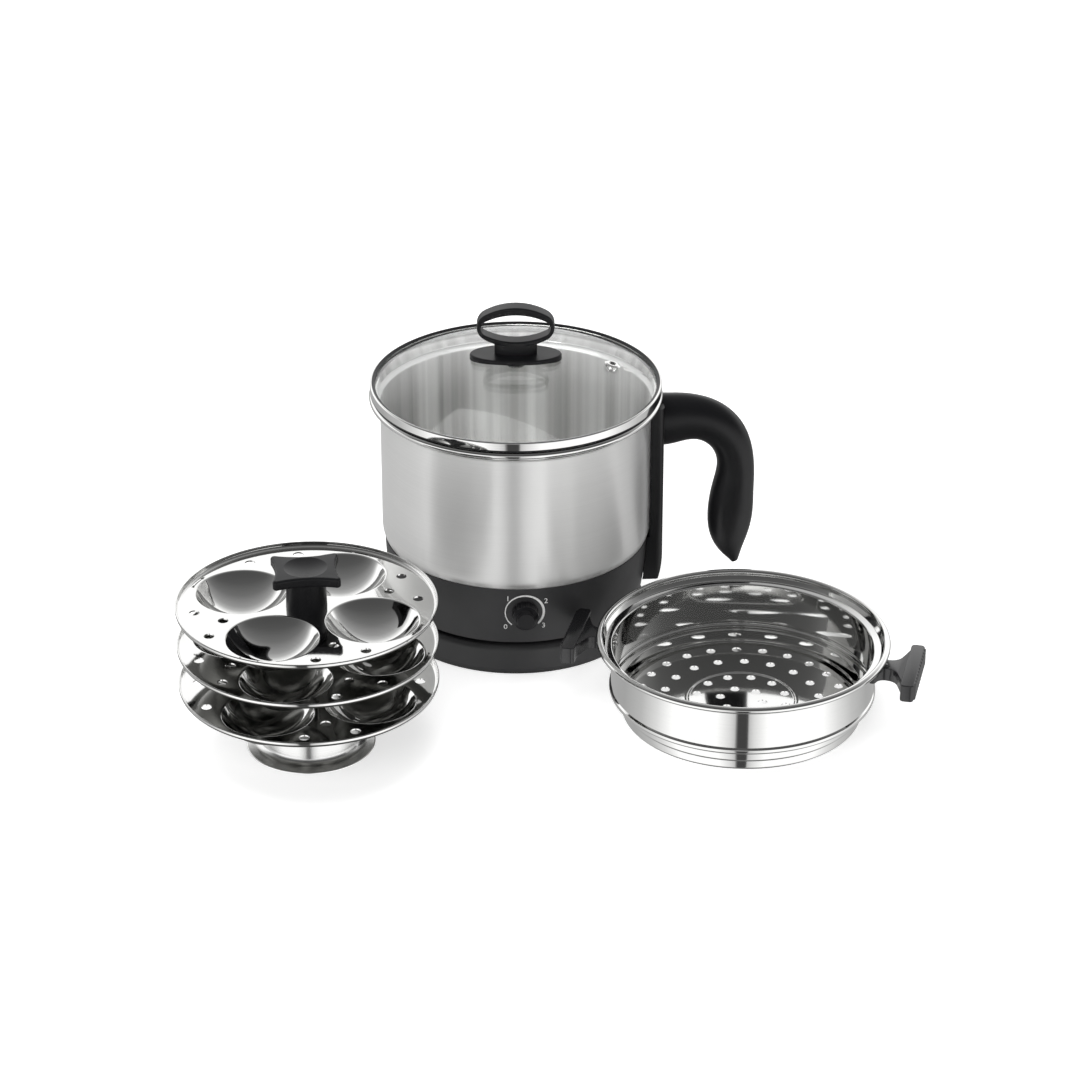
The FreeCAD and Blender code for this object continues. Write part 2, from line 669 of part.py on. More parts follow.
def handle():
    """Grip and spine in one moulding, the strap it hooks on and the screws from inside the collar."""
    grip = new_body("handle")
    half = "(spine_width / 2)"
    low = f"({SEAT} - 19.5 + spine_drop)"

    def strip(inside, bottom, top):
        edge = f"sqrt({inside} ^ 2 - {half} ^ 2)"
        sketch = draw(new_sketch(grip, "XY_Plane", z=bottom), [
            (edge, f"-{half}", inside, "right"),
            (SPINE_FACE, f"-{half}"),
            (SPINE_FACE, half),
            (edge, half),
        ])
        return extrude(grip, sketch, f"{top} - {bottom}")

    strip(SPINE_INSIDE, low, SPINE_TOP)
    strip("(collar_low_radius + 0.5)", low, f"({COLLAR_TOP} - 0.5)")
    round_edges(grip, "4", upright_at(SPINE_FACE))
    revolve(grip, [
        ("0", SEAT),
        ("collar_low_radius + seat_gap", SEAT),
        ("collar_top_radius + seat_gap", COLLAR_TOP, "collar_bulge", "left"),
        ("0", COLLAR_TOP),
    ], cut=True)
    toe_rise = "(spine_toe_rise + 1)"
    toe_bend = f"(({toe_rise} ^ 2 + spine_toe ^ 2) / (2 * spine_toe))"
    toe = draw(new_sketch(grip, "XZ_Plane"), [
        (f"{SPINE_FACE} - spine_toe", f"{low} - 1", toe_bend, "right"),
        (f"{SPINE_FACE} + 1", f"{low} - 1"),
        (f"{SPINE_FACE} + 1", f"{low} + spine_toe_rise"),
        (SPINE_FACE, f"{low} + spine_toe_rise"),
    ])
    extrude(grip, toe, "spine_width + 4", cut=True, both=True)
    sections = []
    for along, down, depth, width, lean in GRIP_STATIONS:
        section = new_sketch(grip, "YZ_Plane")
        section.AttachmentOffset = Placement(Vector(0, 0, 0), Rotation(Vector(1, 0, 0), 1))
        bind(section, "AttachmentOffset.Base.y", f"{HANDLE_LEVEL} - {down} * handle_drop")
        bind(section, "AttachmentOffset.Base.z", f"{SPINE_FACE} + {along} * handle_reach")
        bind(section, "AttachmentOffset.Rotation.Angle", str(lean))
        draw_upright_oval(section, f"{width} * {depth} * handle_depth", f"{depth} * handle_depth")
        sections.append(section)
    loft = grip.newObject("PartDesign::AdditiveLoft", "handle_grip")
    loft.Profile = sections[0]
    loft.Sections = sections[1:]
    doc.recompute()
    slot = draw(new_sketch(grip, "XY_Plane", z=f"{COLLAR_TOP} + 6"), [
        ("pot_radius - 14", "-(bracket_width / 2 + 1)"),
        ("pot_radius + 2.2", "-(bracket_width / 2 + 1)"),
        ("pot_radius + 2.2", "bracket_width / 2 + 1"),
        ("pot_radius - 14", "bracket_width / 2 + 1"),
    ])
    extrude(grip, slot, "bracket_length + 2", cut=True, back=True)
    under_rim = f"({FLARE_RADIUS} + seat_gap)"
    round_bead = "(rim_radius + seat_gap)"
    under_bead = f"({BEAD_LEVEL} - rim_bead - seat_gap)"
    revolve(grip, [
        ("0", f"{FLARE_LOW} - 6"),
        (SPINE_INSIDE, f"{FLARE_LOW} - 6"),
        (SPINE_INSIDE, FLARE_LOW),
        (under_rim, SPINE_TOP),
        (under_rim, under_bead),
        (round_bead, under_bead),
        (round_bead, f"{BEAD_LEVEL} + rim_bead"),
        ("0", f"{BEAD_LEVEL} + rim_bead"),
    ], cut=True)
    for level in SCREW_SHARES:
        bore = draw_circle(new_sketch(grip, "YZ_Plane", z="collar_top_radius - 4"), "0", f"{SEAT} + {level}",
                           "screw_radius + 0.05")
        extrude(grip, bore, f"{SPINE_FACE} - spine_toe - collar_top_radius + 4", cut=True, back=True)

    strap = new_body("handle_bracket")
    side = "(bracket_width / 2)"
    near = "(pot_radius + 0.05)"
    far = "(pot_radius + 1.55)"
    outline = draw(new_sketch(strap, "XY_Plane", z=f"{COLLAR_TOP} + 7"), [
        (f"sqrt({near} ^ 2 - {side} ^ 2)", f"-{side}", near, "right"),
        (f"sqrt({far} ^ 2 - {side} ^ 2)", f"-{side}"),
        (f"sqrt({far} ^ 2 - {side} ^ 2)", side, far, "left"),
        (f"sqrt({near} ^ 2 - {side} ^ 2)", side),
    ])
    extrude(strap, outline, "bracket_length")

    fixing = new_body("handle_screws", z=f"{SEAT} + handle_screw_low", turn="90", axis=Vector(0, 1, 0))
    head = "(collar_low_radius - collar_wall - 1.2)"
    seed = revolve(fixing, [
        ("0", head),
        ("screw_head_radius", head),
        ("screw_head_radius", f"{head} + 2"),
        ("screw_radius", f"{head} + 2"),
        ("screw_radius", f"{SPINE_FACE} - spine_toe - 0.5"),
        ("0", f"{SPINE_FACE} - spine_toe - 0.5"),
    ])
    second = fixing.newObject("PartDesign::LinearPattern", "handle_screws_repeated")
    second.Originals = [seed]
    second.Direction = (origin_feature(fixing, "X_Axis"), [""])
    second.Reversed = True
    bind(second, "Length", "handle_screw_pitch")
    second.Occurrences = 2
    fixing.Tip = second
    doc.recompute()


def draw_loop(knob, level, along, above, end):
    """Draw an upright oval of four tangent arcs from half its length, half its height and its end radius."""
    broad = f"((({along} - {end}) ^ 2 + {above} ^ 2 - {end} ^ 2) / (2 * ({above} - {end})))"
    x = f"({broad} * ({along} - {end}) / ({broad} - {end}))"
    y = f"({above} - {broad} + {broad} * ({broad} - {above}) / ({broad} - {end}))"
    return draw(new_sketch(knob, "XZ_Plane", y=level), [
        (x, f"-{y}", broad, "left"),
        (x, y, end, "left"),
        (f"-{x}", y, broad, "left"),
        (f"-{x}", f"-{y}", end, "left"),
    ])


def lid():
    """Domed glass in a steel ring, with a vent eyelet and a loop knob."""
    glass = new_body("lid_glass", turn="lid_turn + vent_angle")
    inner_rise = "(dome_rise - 0.3)"
    revolve(glass, [
        ("0", f"{GLASS_LOW} + {inner_rise}"),
        (GLASS_RADIUS, GLASS_LOW, f"({GLASS_RADIUS} ^ 2 + {inner_rise} ^ 2) / (2 * {inner_rise})", "right"),
        (GLASS_RADIUS, GLASS_EDGE_TOP),
        ("0", DOME_TOP, DOME_RADIUS, "left"),
    ])
    extrude(glass, draw_circle(new_sketch(glass, "XY_Plane", z=GLASS_LOW), "0", "0", "3"), "dome_rise + 8",
            cut=True, back=True)
    vent_level = f"({DOME_TOP} - {DOME_RADIUS} + sqrt({DOME_RADIUS} ^ 2 - vent_circle ^ 2))"
    vent_lean = f"-asin(vent_circle / {DOME_RADIUS})"
    tilted = {"x": "vent_circle", "z": vent_level, "lean": vent_lean}
    revolve(glass, [
        ("0", "-8"),
        ("vent_radius", "-8"),
        ("vent_radius", "4"),
        ("0", "4"),
    ], cut=True, **tilted)
    vent = new_body("lid_vent", turn="lid_turn + vent_angle")
    revolve(vent, [
        ("1.6", "-4.4"),
        ("vent_radius - fit_gap", "-4.4"),
        ("vent_radius - fit_gap", "0.1"),
        ("vent_radius + 1.5", "0.1"),
        ("vent_radius + 1.5", "0.6"),
        ("vent_radius + 0.3", "1.2"),
        ("2.2", "1.2"),
        ("1.6", "0.5"),
    ], **tilted)

    ring = new_body("lid_rim_ring")
    outside = "(rim_radius - 0.6)"
    lip = f"({GLASS_RADIUS} - 2.5)"
    revolve(ring, [
        (outside, LID_LOW),
        (outside, f"{LID_TOP} - 1.1"),
        (f"{outside} - 1.1", LID_TOP, "1.1", "left"),
        (lip, LID_TOP),
        (lip, f"{LID_TOP} - 0.7"),
        (f"{GLASS_RADIUS} + fit_gap", f"{LID_TOP} - 0.7"),
        (f"{GLASS_RADIUS} + fit_gap", f"{GLASS_LOW} - fit_gap"),
        (f"{GLASS_RADIUS} - 3.9", f"{GLASS_LOW} - fit_gap"),
        (f"{GLASS_RADIUS} - 3.9", f"{LID_LOW} - 4.5"),
        (f"{GLASS_RADIUS} - 3.2", f"{LID_LOW} - 4.5"),
        (f"{GLASS_RADIUS} - 3.2", LID_LOW),
    ])

    knob = new_body("lid_knob", turn="lid_turn")
    loop_level = f"({DOME_TOP} + knob_rise - knob_loop_height / 2)"
    loop_low = f"({loop_level} - knob_loop_height / 2)"
    hole_level = f"({loop_level} + (knob_loop_bottom - knob_loop_top) / 2)"
    flange_top = f"({DOME_TOP} + knob_flange_thickness)"
    loop = draw_loop(knob, loop_level, "(knob_loop_width / 2)", "(knob_loop_height / 2)", "knob_loop_end")
    extrude(knob, loop, "knob_loop_depth", both=True)
    hole = draw_loop(knob, hole_level, "(knob_loop_width / 2 - knob_loop_side)",
                     "((knob_loop_height - knob_loop_top - knob_loop_bottom) / 2)", "knob_hole_end")
    extrude(knob, hole, "knob_loop_depth + 2", cut=True, both=True)
    round_edges(knob, "0.4 * knob_loop_side", lambda edge: edge.BoundBox.YLength < 0.01)
    neck = draw_oval(new_sketch(knob, "XY_Plane", z=f"{flange_top} - 1"), "0", "0", "knob_loop_width * 0.55",
                     "knob_loop_depth * 1.1")
    extrude(knob, neck, f"{loop_low} + knob_loop_bottom - 0.6 - {flange_top} + 1")
    flange = draw_oval(new_sketch(knob, "XY_Plane", z=f"{DOME_TOP} - 2"), "0", "0", "knob_flange_length",
                       "knob_flange_width")
    extrude(knob, flange, "knob_flange_thickness + 2")
    level = value(flange_top)
    span = value("knob_flange_length") - 1

    def at_flange_edge(edge):
        return abs(edge.BoundBox.ZMin - level) < 0.01 and edge.BoundBox.XLength > span

    round_edges(knob, "0.6 * knob_flange_thickness", at_flange_edge)
    rest = f"({DOME_RADIUS} + fit_gap)"
    reach = "(knob_flange_length / 2 + 4)"
    revolve(knob, [
        ("0", f"{DOME_TOP} - 8"),
        (reach, f"{DOME_TOP} - 8"),
        (reach, f"{DOME_TOP} + fit_gap - {rest} + sqrt({rest} ^ 2 - {reach} ^ 2)"),
        ("0", f"{DOME_TOP} + fit_gap", rest, "left"),
    ], cut=True)
    revolve(knob, [
        ("0", f"{DOME_TOP} - 4"),
        ("2.1", f"{DOME_TOP} - 4"),
        ("2.1", f"{loop_low} + 1.4"),
        ("0", f"{loop_low} + 1.4"),
    ], cut=True)

    washer_drop = f"(knob_washer_radius ^ 2 / (2 * {DOME_RADIUS}) + fit_gap)"
    washer_top = f"({GLASS_LOW} + {inner_rise} - {washer_drop})"
    washer_low = f"({washer_top} - knob_washer_thickness)"
    tube("lid_knob_washer", washer_low, washer_top, "2.2", "knob_washer_radius")
    screw = new_body("lid_knob_screw")
    revolve(screw, [
        ("0", f"{washer_low} - 2.4"),
        ("4.5", f"{washer_low} - 2.4"),
        ("4.5", washer_low),
        ("2", washer_low),
        ("2", f"{loop_low} + 0.9"),
        ("0", f"{loop_low} + 0.9"),
    ])


def idli_plate(label, level, turn):
    """A pressed plate with an upturned lip, four cups and their steam holes."""
    plate = new_body(label, x="rack_x", y="rack_y", z=level, turn=turn)
    revolve(plate, [
        ("rod_radius + running_gap", "0"),
        ("plate_radius - 2", "0"),
        ("plate_radius", "2", "2", "left"),
        ("plate_radius", "plate_lip"),
        ("plate_radius - sheet_thickness", "plate_lip"),
        ("plate_radius - sheet_thickness", "2"),
        ("plate_radius - 2", "sheet_thickness", "2 - sheet_thickness", "right"),
        ("rod_radius + running_gap", "sheet_thickness"),
    ])
    outer = f"({CUP_BALL} + sheet_thickness)"
    bowl = revolve(plate, [
        ("0", "-cup_depth"),
        (f"sqrt({outer} ^ 2 - ({outer} - cup_depth) ^ 2)", "0", outer, "left"),
        ("0", "0"),
    ], x="cup_circle")
    hollow = revolve(plate, [
        ("0", "sheet_thickness - cup_depth"),
        ("cup_radius", "sheet_thickness", CUP_BALL, "left"),
        ("0", "sheet_thickness"),
    ], cut=True, x="cup_circle")
    repeat(plate, [bowl, hollow], 4)
    holes = new_sketch(plate, "XY_Plane")
    for share, angle in ((1.184, 45), (1.526, 31.7), (1.526, 58.3)):
        circle = f"{share} * cup_circle"
        draw_circle(holes, f"{circle} * cos({angle})", f"{circle} * sin({angle})", "steam_hole_radius")
    repeat(plate, [extrude(plate, holes, "sheet_thickness", cut=True, back=True)], 4)


def rack():
    """Foot, rod, spacer tubes, three plates and the knob that screws on the rod."""
    spot = {"x": "rack_x", "y": "rack_y"}
    foot = new_body("rack_foot", **spot)
    drum = "rack_drum_radius"
    revolve(foot, [
        ("rod_radius + fit_gap", "rack_foot_height - sheet_thickness"),
        (f"{drum} - 5", "rack_foot_height - sheet_thickness"),
        (f"{drum} - 1 - sheet_thickness", "rack_foot_height - 4", "4 - sheet_thickness", "right"),
        (f"{drum} - sheet_thickness", "5"),
        (f"{drum} + 5 - sheet_thickness", "0", "5", "left"),
        ("rack_foot_radius", "0"),
        ("rack_foot_radius", "sheet_thickness"),
        (f"{drum} + 5 - sheet_thickness", "sheet_thickness"),
        (drum, "5", "5 - sheet_thickness", "right"),
        (f"{drum} - 1", "rack_foot_height - 4"),
        (f"{drum} - 5", "rack_foot_height", "4", "left"),
        ("rod_radius + fit_gap", "rack_foot_height"),
    ])
    rod = new_body("rack_rod", **spot)
    under = "(rack_foot_height - sheet_thickness)"
    revolve(rod, [
        ("0", f"{under} - 3"),
        ("2 * rod_radius", f"{under} - 3"),
        ("2 * rod_radius", under),
        ("rod_radius", under),
        ("rod_radius", f"{RACK_KNOB_LOW} + rack_knob_rise - 2"),
        ("0", f"{RACK_KNOB_LOW} + rack_knob_rise - 2"),
    ])
    bore = "rod_radius + seat_gap"
    tube("lower_spacer", "rack_foot_height", LOWER_PLATE, bore, "spacer_radius", **spot)
    tube("middle_spacer", f"{LOWER_PLATE} + sheet_thickness", MIDDLE_PLATE, bore, "spacer_radius", **spot)
    tube("upper_spacer", f"{MIDDLE_PLATE} + sheet_thickness", UPPER_PLATE, bore, "spacer_radius", **spot)
    idli_plate("lower_plate", LOWER_PLATE, "lower_turn")
    idli_plate("middle_plate", MIDDLE_PLATE, "middle_turn")
    idli_plate("upper_plate", UPPER_PLATE, "upper_turn")

    knob = new_body("rack_knob", z=RACK_KNOB_LOW, turn="2", **spot)
    revolve(knob, [
        ("rod_radius + running_gap", "0"),
        ("rack_knob_neck", "0"),
        ("rack_knob_neck - 0.6", "rack_knob_rise + 1"),
        ("0", "rack_knob_rise + 1"),
        ("0", "rack_knob_rise - 1"),
        ("rod_radius + running_gap", "rack_knob_rise - 1"),
    ])
    corner_x, corner_y = "(rack_knob_length / 2)", "(rack_knob_width / 2)"
    head = draw(new_sketch(knob, "XY_Plane", z="rack_knob_rise"), [
        (corner_x, f"-{corner_y}", "rack_knob_waist", "right"),
        (corner_x, corner_y, "rack_knob_waist", "right"),
        (f"-{corner_x}", corner_y, "rack_knob_waist", "right"),
        (f"-{corner_x}", f"-{corner_y}", "rack_knob_waist", "right"),
    ])
    extrude(knob, head, "rack_knob_thickness")
    corner = value(corner_x)
    round_edges(knob, "rack_knob_corner", lambda edge: edge.BoundBox.XLength < 0.01
                and edge.BoundBox.YLength < 0.01 and abs(abs(edge.BoundBox.XMin) - corner) < 0.01)
    inside = value("rack_knob_neck") + 1
    round_edges(knob, "1.3", lambda edge: edge.BoundBox.ZLength < 0.01
                and (edge.CenterOfMass - Vector(0, 0, edge.CenterOfMass.z)).Length > inside)
    dish = "(rack_knob_width * 0.34)"
    top = "(rack_knob_rise + rack_knob_thickness)"
    revolve(knob, [
        ("0", f"{top} - 1.8"),
        (dish, top, f"({dish} ^ 2 + 1.8 ^ 2) / 3.6", "left"),
        ("0", top),
    ], cut=True)
    revolve(knob, [
        ("0", "0"),
        ("spacer_radius + 0.05", "0"),
        ("spacer_radius + 0.05", "rack_knob_rise - 5"),
        ("0", "rack_knob_rise - 5"),
    ], cut=True)
    insert_top = f"{RACK_KNOB_LOW} + rack_knob_rise - 5.1"
    tube("rack_knob_insert", RACK_KNOB_LOW, insert_top, bore, "spacer_radius", **spot)


def basket_grip(label, turn):
    """A T-shaped side handle of the basket."""
    grip = new_body(label, x="basket_x", y="basket_y", z=f"{GRIP_TOP} - grip_thickness", turn=turn)
    near = "(basket_radius + fit_gap)"
    half = "4"
    bar = f"({GRIP_REACH} - 2 * {half})"
    end = f"(grip_length / 2 - {half})"
    bend = f"(0.8 * ({bar} - {near} - 6.5))"
    plan = [
        (f"sqrt({near} ^ 2 - 100)", "-10", near, "right"),
        (f"{near} + 1.5", "-10"),
        (f"{near} + 6.5", "-5", "5", "right"),
        (f"{bar} - {bend}", "-5"),
        (bar, f"-(5 + {bend})", bend, "right"),
        (bar, f"-{end}"),
        (f"{bar} + {half}", "-grip_length / 2", half, "left"),
        (GRIP_REACH, f"-{end}", half, "left"),
        (GRIP_REACH, end),
        (f"{bar} + {half}", "grip_length / 2", half, "left"),
        (bar, end, half, "left"),
        (bar, f"5 + {bend}"),
        (f"{bar} - {bend}", "5", bend, "right"),
        (f"{near} + 6.5", "5"),
        (f"{near} + 1.5", "10", "5", "right"),
        (f"sqrt({near} ^ 2 - 100)", "10"),
    ]
    extrude(grip, draw(new_sketch(grip, "XY_Plane"), plan), "grip_thickness")
    wall = value(near)
    round_edges(grip, "1.8", lambda edge: edge.BoundBox.ZLength < 0.01 and edge.BoundBox.XMax > wall + 0.5)
    for height in ("0.25 * grip_thickness", "0.75 * grip_thickness"):
        bore = new_sketch(grip, "YZ_Plane", z="basket_radius - 4")
        extrude(grip, draw_circle(bore, "0", height, "screw_radius + 0.05"), "12", cut=True, back=True)

    rivets = new_body(label.replace("handle", "rivets"), x="basket_x", y="basket_y", z=RIVET_LOW, turn=turn)
    outline = new_sketch(rivets, "XY_Plane")
    inner = "(basket_radius - sheet_thickness - 0.1)"
    draw(outline, [
        (f"{inner} - 1.2", "0"),
        (f"{inner} - 1.2", "1"),
        (inner, "2.1", "2", "right"),
        (inner, "screw_radius"),
        ("basket_radius + 7.5", "screw_radius"),
        ("basket_radius + 7.5", "0"),
    ])
    seed = rivets.newObject("PartDesign::Revolution", f"{label}_rivet")
    seed.Profile = outline
    seed.ReferenceAxis = (outline, ["H_Axis"])
    seed.Angle = 360
    doc.recompute()
    second = rivets.newObject("PartDesign::LinearPattern", f"{label}_rivets")
    second.Originals = [seed]
    second.Direction = (origin_feature(rivets, "Z_Axis"), [""])
    bind(second, "Length", RIVET_PITCH)
    second.Occurrences = 2
    rivets.Tip = second
    doc.recompute()


def basket():
    """Perforated pan with a stepped foot, a flared rolled rim and two T handles."""
    pan = new_body("steamer_basket", x="basket_x", y="basket_y", turn="basket_turn")
    foot = "basket_foot_radius"
    flare_top = f"({BASKET_FLARE_LOW} + 2.8)"
    floor_top = "(basket_floor + sheet_thickness)"
    revolve(pan, [
        ("0", "basket_floor"),
        (f"{foot} - 4.4", "basket_floor"),
        (f"{foot} - 3.2", "0"),
        (f"{foot} - 2", "0"),
        (foot, "2", "2", "left"),
        (f"{foot} + 0.3", "basket_floor + 0.4"),
        (f"{foot} + 1", "basket_floor + 1.4"),
        (f"{foot} + 1", "basket_step"),
        ("basket_radius - 1.5", "basket_step"),
        ("basket_radius", "basket_step + 1.5", "1.5", "left"),
        ("basket_radius", BASKET_FLARE_LOW),
        (BASKET_FLARE_RADIUS, flare_top),
        (BASKET_FLARE_RADIUS, BASKET_BEAD_LEVEL),
        (f"{BASKET_FLARE_RADIUS} - sheet_thickness", BASKET_BEAD_LEVEL),
        (f"{BASKET_FLARE_RADIUS} - sheet_thickness", f"{flare_top} + 0.4"),
        ("basket_radius - sheet_thickness", f"{BASKET_FLARE_LOW} + 0.5"),
        ("basket_radius - sheet_thickness", "basket_step + 1.5"),
        ("basket_radius - 1.5", "basket_step + sheet_thickness", "1.5 - sheet_thickness", "right"),
        (f"{foot} + 1 - sheet_thickness", "basket_step + sheet_thickness"),
        (f"{foot} + 1 - sheet_thickness", "basket_floor + 1.6"),
        (f"{foot} + 0.3 - sheet_thickness", "basket_floor + 0.6"),
        (f"{foot} - sheet_thickness", "2"),
        (f"{foot} - 2", "sheet_thickness", "2 - sheet_thickness", "right"),
        (f"{foot} - 2.5", "sheet_thickness"),
        (f"{foot} - 3.7", floor_top),
        ("0", floor_top),
    ])
    bead = new_sketch(pan, "XZ_Plane")
    turn_sketch(pan, draw_circle(bead, "basket_rim_radius - basket_bead", BASKET_BEAD_LEVEL, "basket_bead"))
    ridge = f"{foot} * 0.455"
    revolve(pan, [
        (f"{ridge} - 1.1", f"{floor_top} - 0.1"),
        (f"{ridge} + 1.1", f"{floor_top} - 0.1"),
        (f"{ridge} + 0.4", f"{floor_top} + 0.6"),
        (f"{ridge} - 0.4", f"{floor_top} + 0.6"),
    ])
    for share, count in ((0.856, 24), (0.652, 18), (0.38, 12), (0.18, 6)):
        holes = new_sketch(pan, "XY_Plane", z="basket_floor")
        for step in range(count):
            angle = 360 * step / count - 2
            draw_circle(holes, f"{share} * {foot} * cos({angle})", f"{share} * {foot} * sin({angle})",
                        "basket_hole_radius")
        extrude(pan, holes, "sheet_thickness", cut=True, back=True)
    for height in (RIVET_LOW, f"{RIVET_LOW} + {RIVET_PITCH}"):
        hole = draw_circle(new_sketch(pan, "YZ_Plane"), "0", height, "screw_radius + 0.1")
        extrude(pan, hole, "2 * basket_radius + 4", cut=True, both=True)
    basket_grip("basket_handle_right", "basket_turn")
    basket_grip("basket_handle_left", "basket_turn + 180")


power_base()
coupler()
pot_and_heater()
kettle_base()
thermostat()
handle()
lid()
rack()
basket()
doc.recompute()

for item in doc.Objects:
    if "Invalid" in item.State or "Error" in item.State:
        raise RuntimeError(f"{item.Label} did not build: {item.State}")
os.makedirs("parts", exist_ok=True)
for piece in pieces:
    if piece.Shape.isNull() or not piece.Shape.isValid() or not piece.Shape.Solids:
        raise RuntimeError(f"{piece.Label} has no sound solid")
    piece.Shape.exportStep(f"parts/{piece.Label}.step")
    print(piece.Label, len(piece.Shape.Solids), round(piece.Shape.Volume, 1))
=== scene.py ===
"""Looks of the idli steamer: an electric kettle, a rack of idli plates and a steamer basket.

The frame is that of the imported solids: the origin is on the table under the kettle's axis,
the handle points to +X, the dial faces -Y and +Z is up. Sizes are written in millimetres
and become metres on the bench.
"""

from __future__ import annotations

import json
import logging
import math
from dataclasses import dataclass
from enum import Enum
from typing import Callable, Sequence, Union

import bmesh
import bpy
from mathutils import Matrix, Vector

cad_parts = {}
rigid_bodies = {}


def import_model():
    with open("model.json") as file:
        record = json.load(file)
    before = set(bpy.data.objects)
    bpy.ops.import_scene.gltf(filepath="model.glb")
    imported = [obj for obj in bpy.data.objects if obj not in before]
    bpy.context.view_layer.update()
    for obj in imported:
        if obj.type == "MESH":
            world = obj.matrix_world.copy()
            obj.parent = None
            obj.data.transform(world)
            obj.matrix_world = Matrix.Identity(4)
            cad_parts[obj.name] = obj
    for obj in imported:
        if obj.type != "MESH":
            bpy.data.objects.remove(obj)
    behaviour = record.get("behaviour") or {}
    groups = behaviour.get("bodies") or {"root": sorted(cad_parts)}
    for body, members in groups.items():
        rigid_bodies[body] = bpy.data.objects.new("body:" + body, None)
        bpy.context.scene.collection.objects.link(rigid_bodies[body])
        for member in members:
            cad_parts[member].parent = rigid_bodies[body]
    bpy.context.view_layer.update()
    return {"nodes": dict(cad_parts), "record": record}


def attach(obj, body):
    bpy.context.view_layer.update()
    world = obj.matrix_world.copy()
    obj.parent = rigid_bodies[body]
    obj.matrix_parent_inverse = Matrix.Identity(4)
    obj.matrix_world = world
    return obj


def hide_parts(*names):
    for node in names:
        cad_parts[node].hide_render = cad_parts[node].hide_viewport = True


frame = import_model()

LOG = logging.getLogger("idli_steamer")
MM = 0.001
TINY = 1e-6
Point = tuple[float, float]
Corner = tuple[float, ...]
Colour = tuple[float, float, float]
Piece = bpy.types.Object
Stop = tuple[float, Colour]
Ring = tuple[float, float, int]

# First and last angle, in degrees, of a rolled rim's outline.
ROLLED = (-150.0, 180.0)


class Signal:
    """A node's output that can be used in arithmetic."""

    def __init__(self, paint: Paint, socket: bpy.types.NodeSocket) -> None:
        """Remember the socket and the paint that owns it."""
        self.paint = paint
        self.socket = socket

    def _sum(self, operation: str, first: Feed, second: Feed) -> Signal:
        """Add one Math node.

        Args:
            operation: the Math node's operation.
            first: its first value.
            second: its second value.

        Returns:
            The node's result.
        """
        return self.paint.node("ShaderNodeMath", {"operation": operation}, {0: first, 1: second})

    def __add__(self, other: Feed) -> Signal:
        """Sum."""
        return self._sum("ADD", self, other)

    def __radd__(self, other: Feed) -> Signal:
        """Sum with a number on the left."""
        return self._sum("ADD", other, self)

    def __sub__(self, other: Feed) -> Signal:
        """Difference."""
        return self._sum("SUBTRACT", self, other)

    def __rsub__(self, other: Feed) -> Signal:
        """Difference from a number on the left."""
        return self._sum("SUBTRACT", other, self)

    def __mul__(self, other: Feed) -> Signal:
        """Product."""
        return self._sum("MULTIPLY", self, other)

    def __rmul__(self, other: Feed) -> Signal:
        """Product with a number on the left."""
        return self._sum("MULTIPLY", other, self)

    def __pow__(self, other: Feed) -> Signal:
        """Power."""
        return self._sum("POWER", self, other)

    def highest(self, other: Feed) -> Signal:
        """The larger of two values."""
        return self._sum("MAXIMUM", self, other)

    def angle_from(self, other: Feed) -> Signal:
        """The angle, in radians, whose opposite side is this and whose near side is the other."""
        return self._sum("ARCTAN2", self, other)


Feed = Union[Signal, float, int, Sequence[float]]


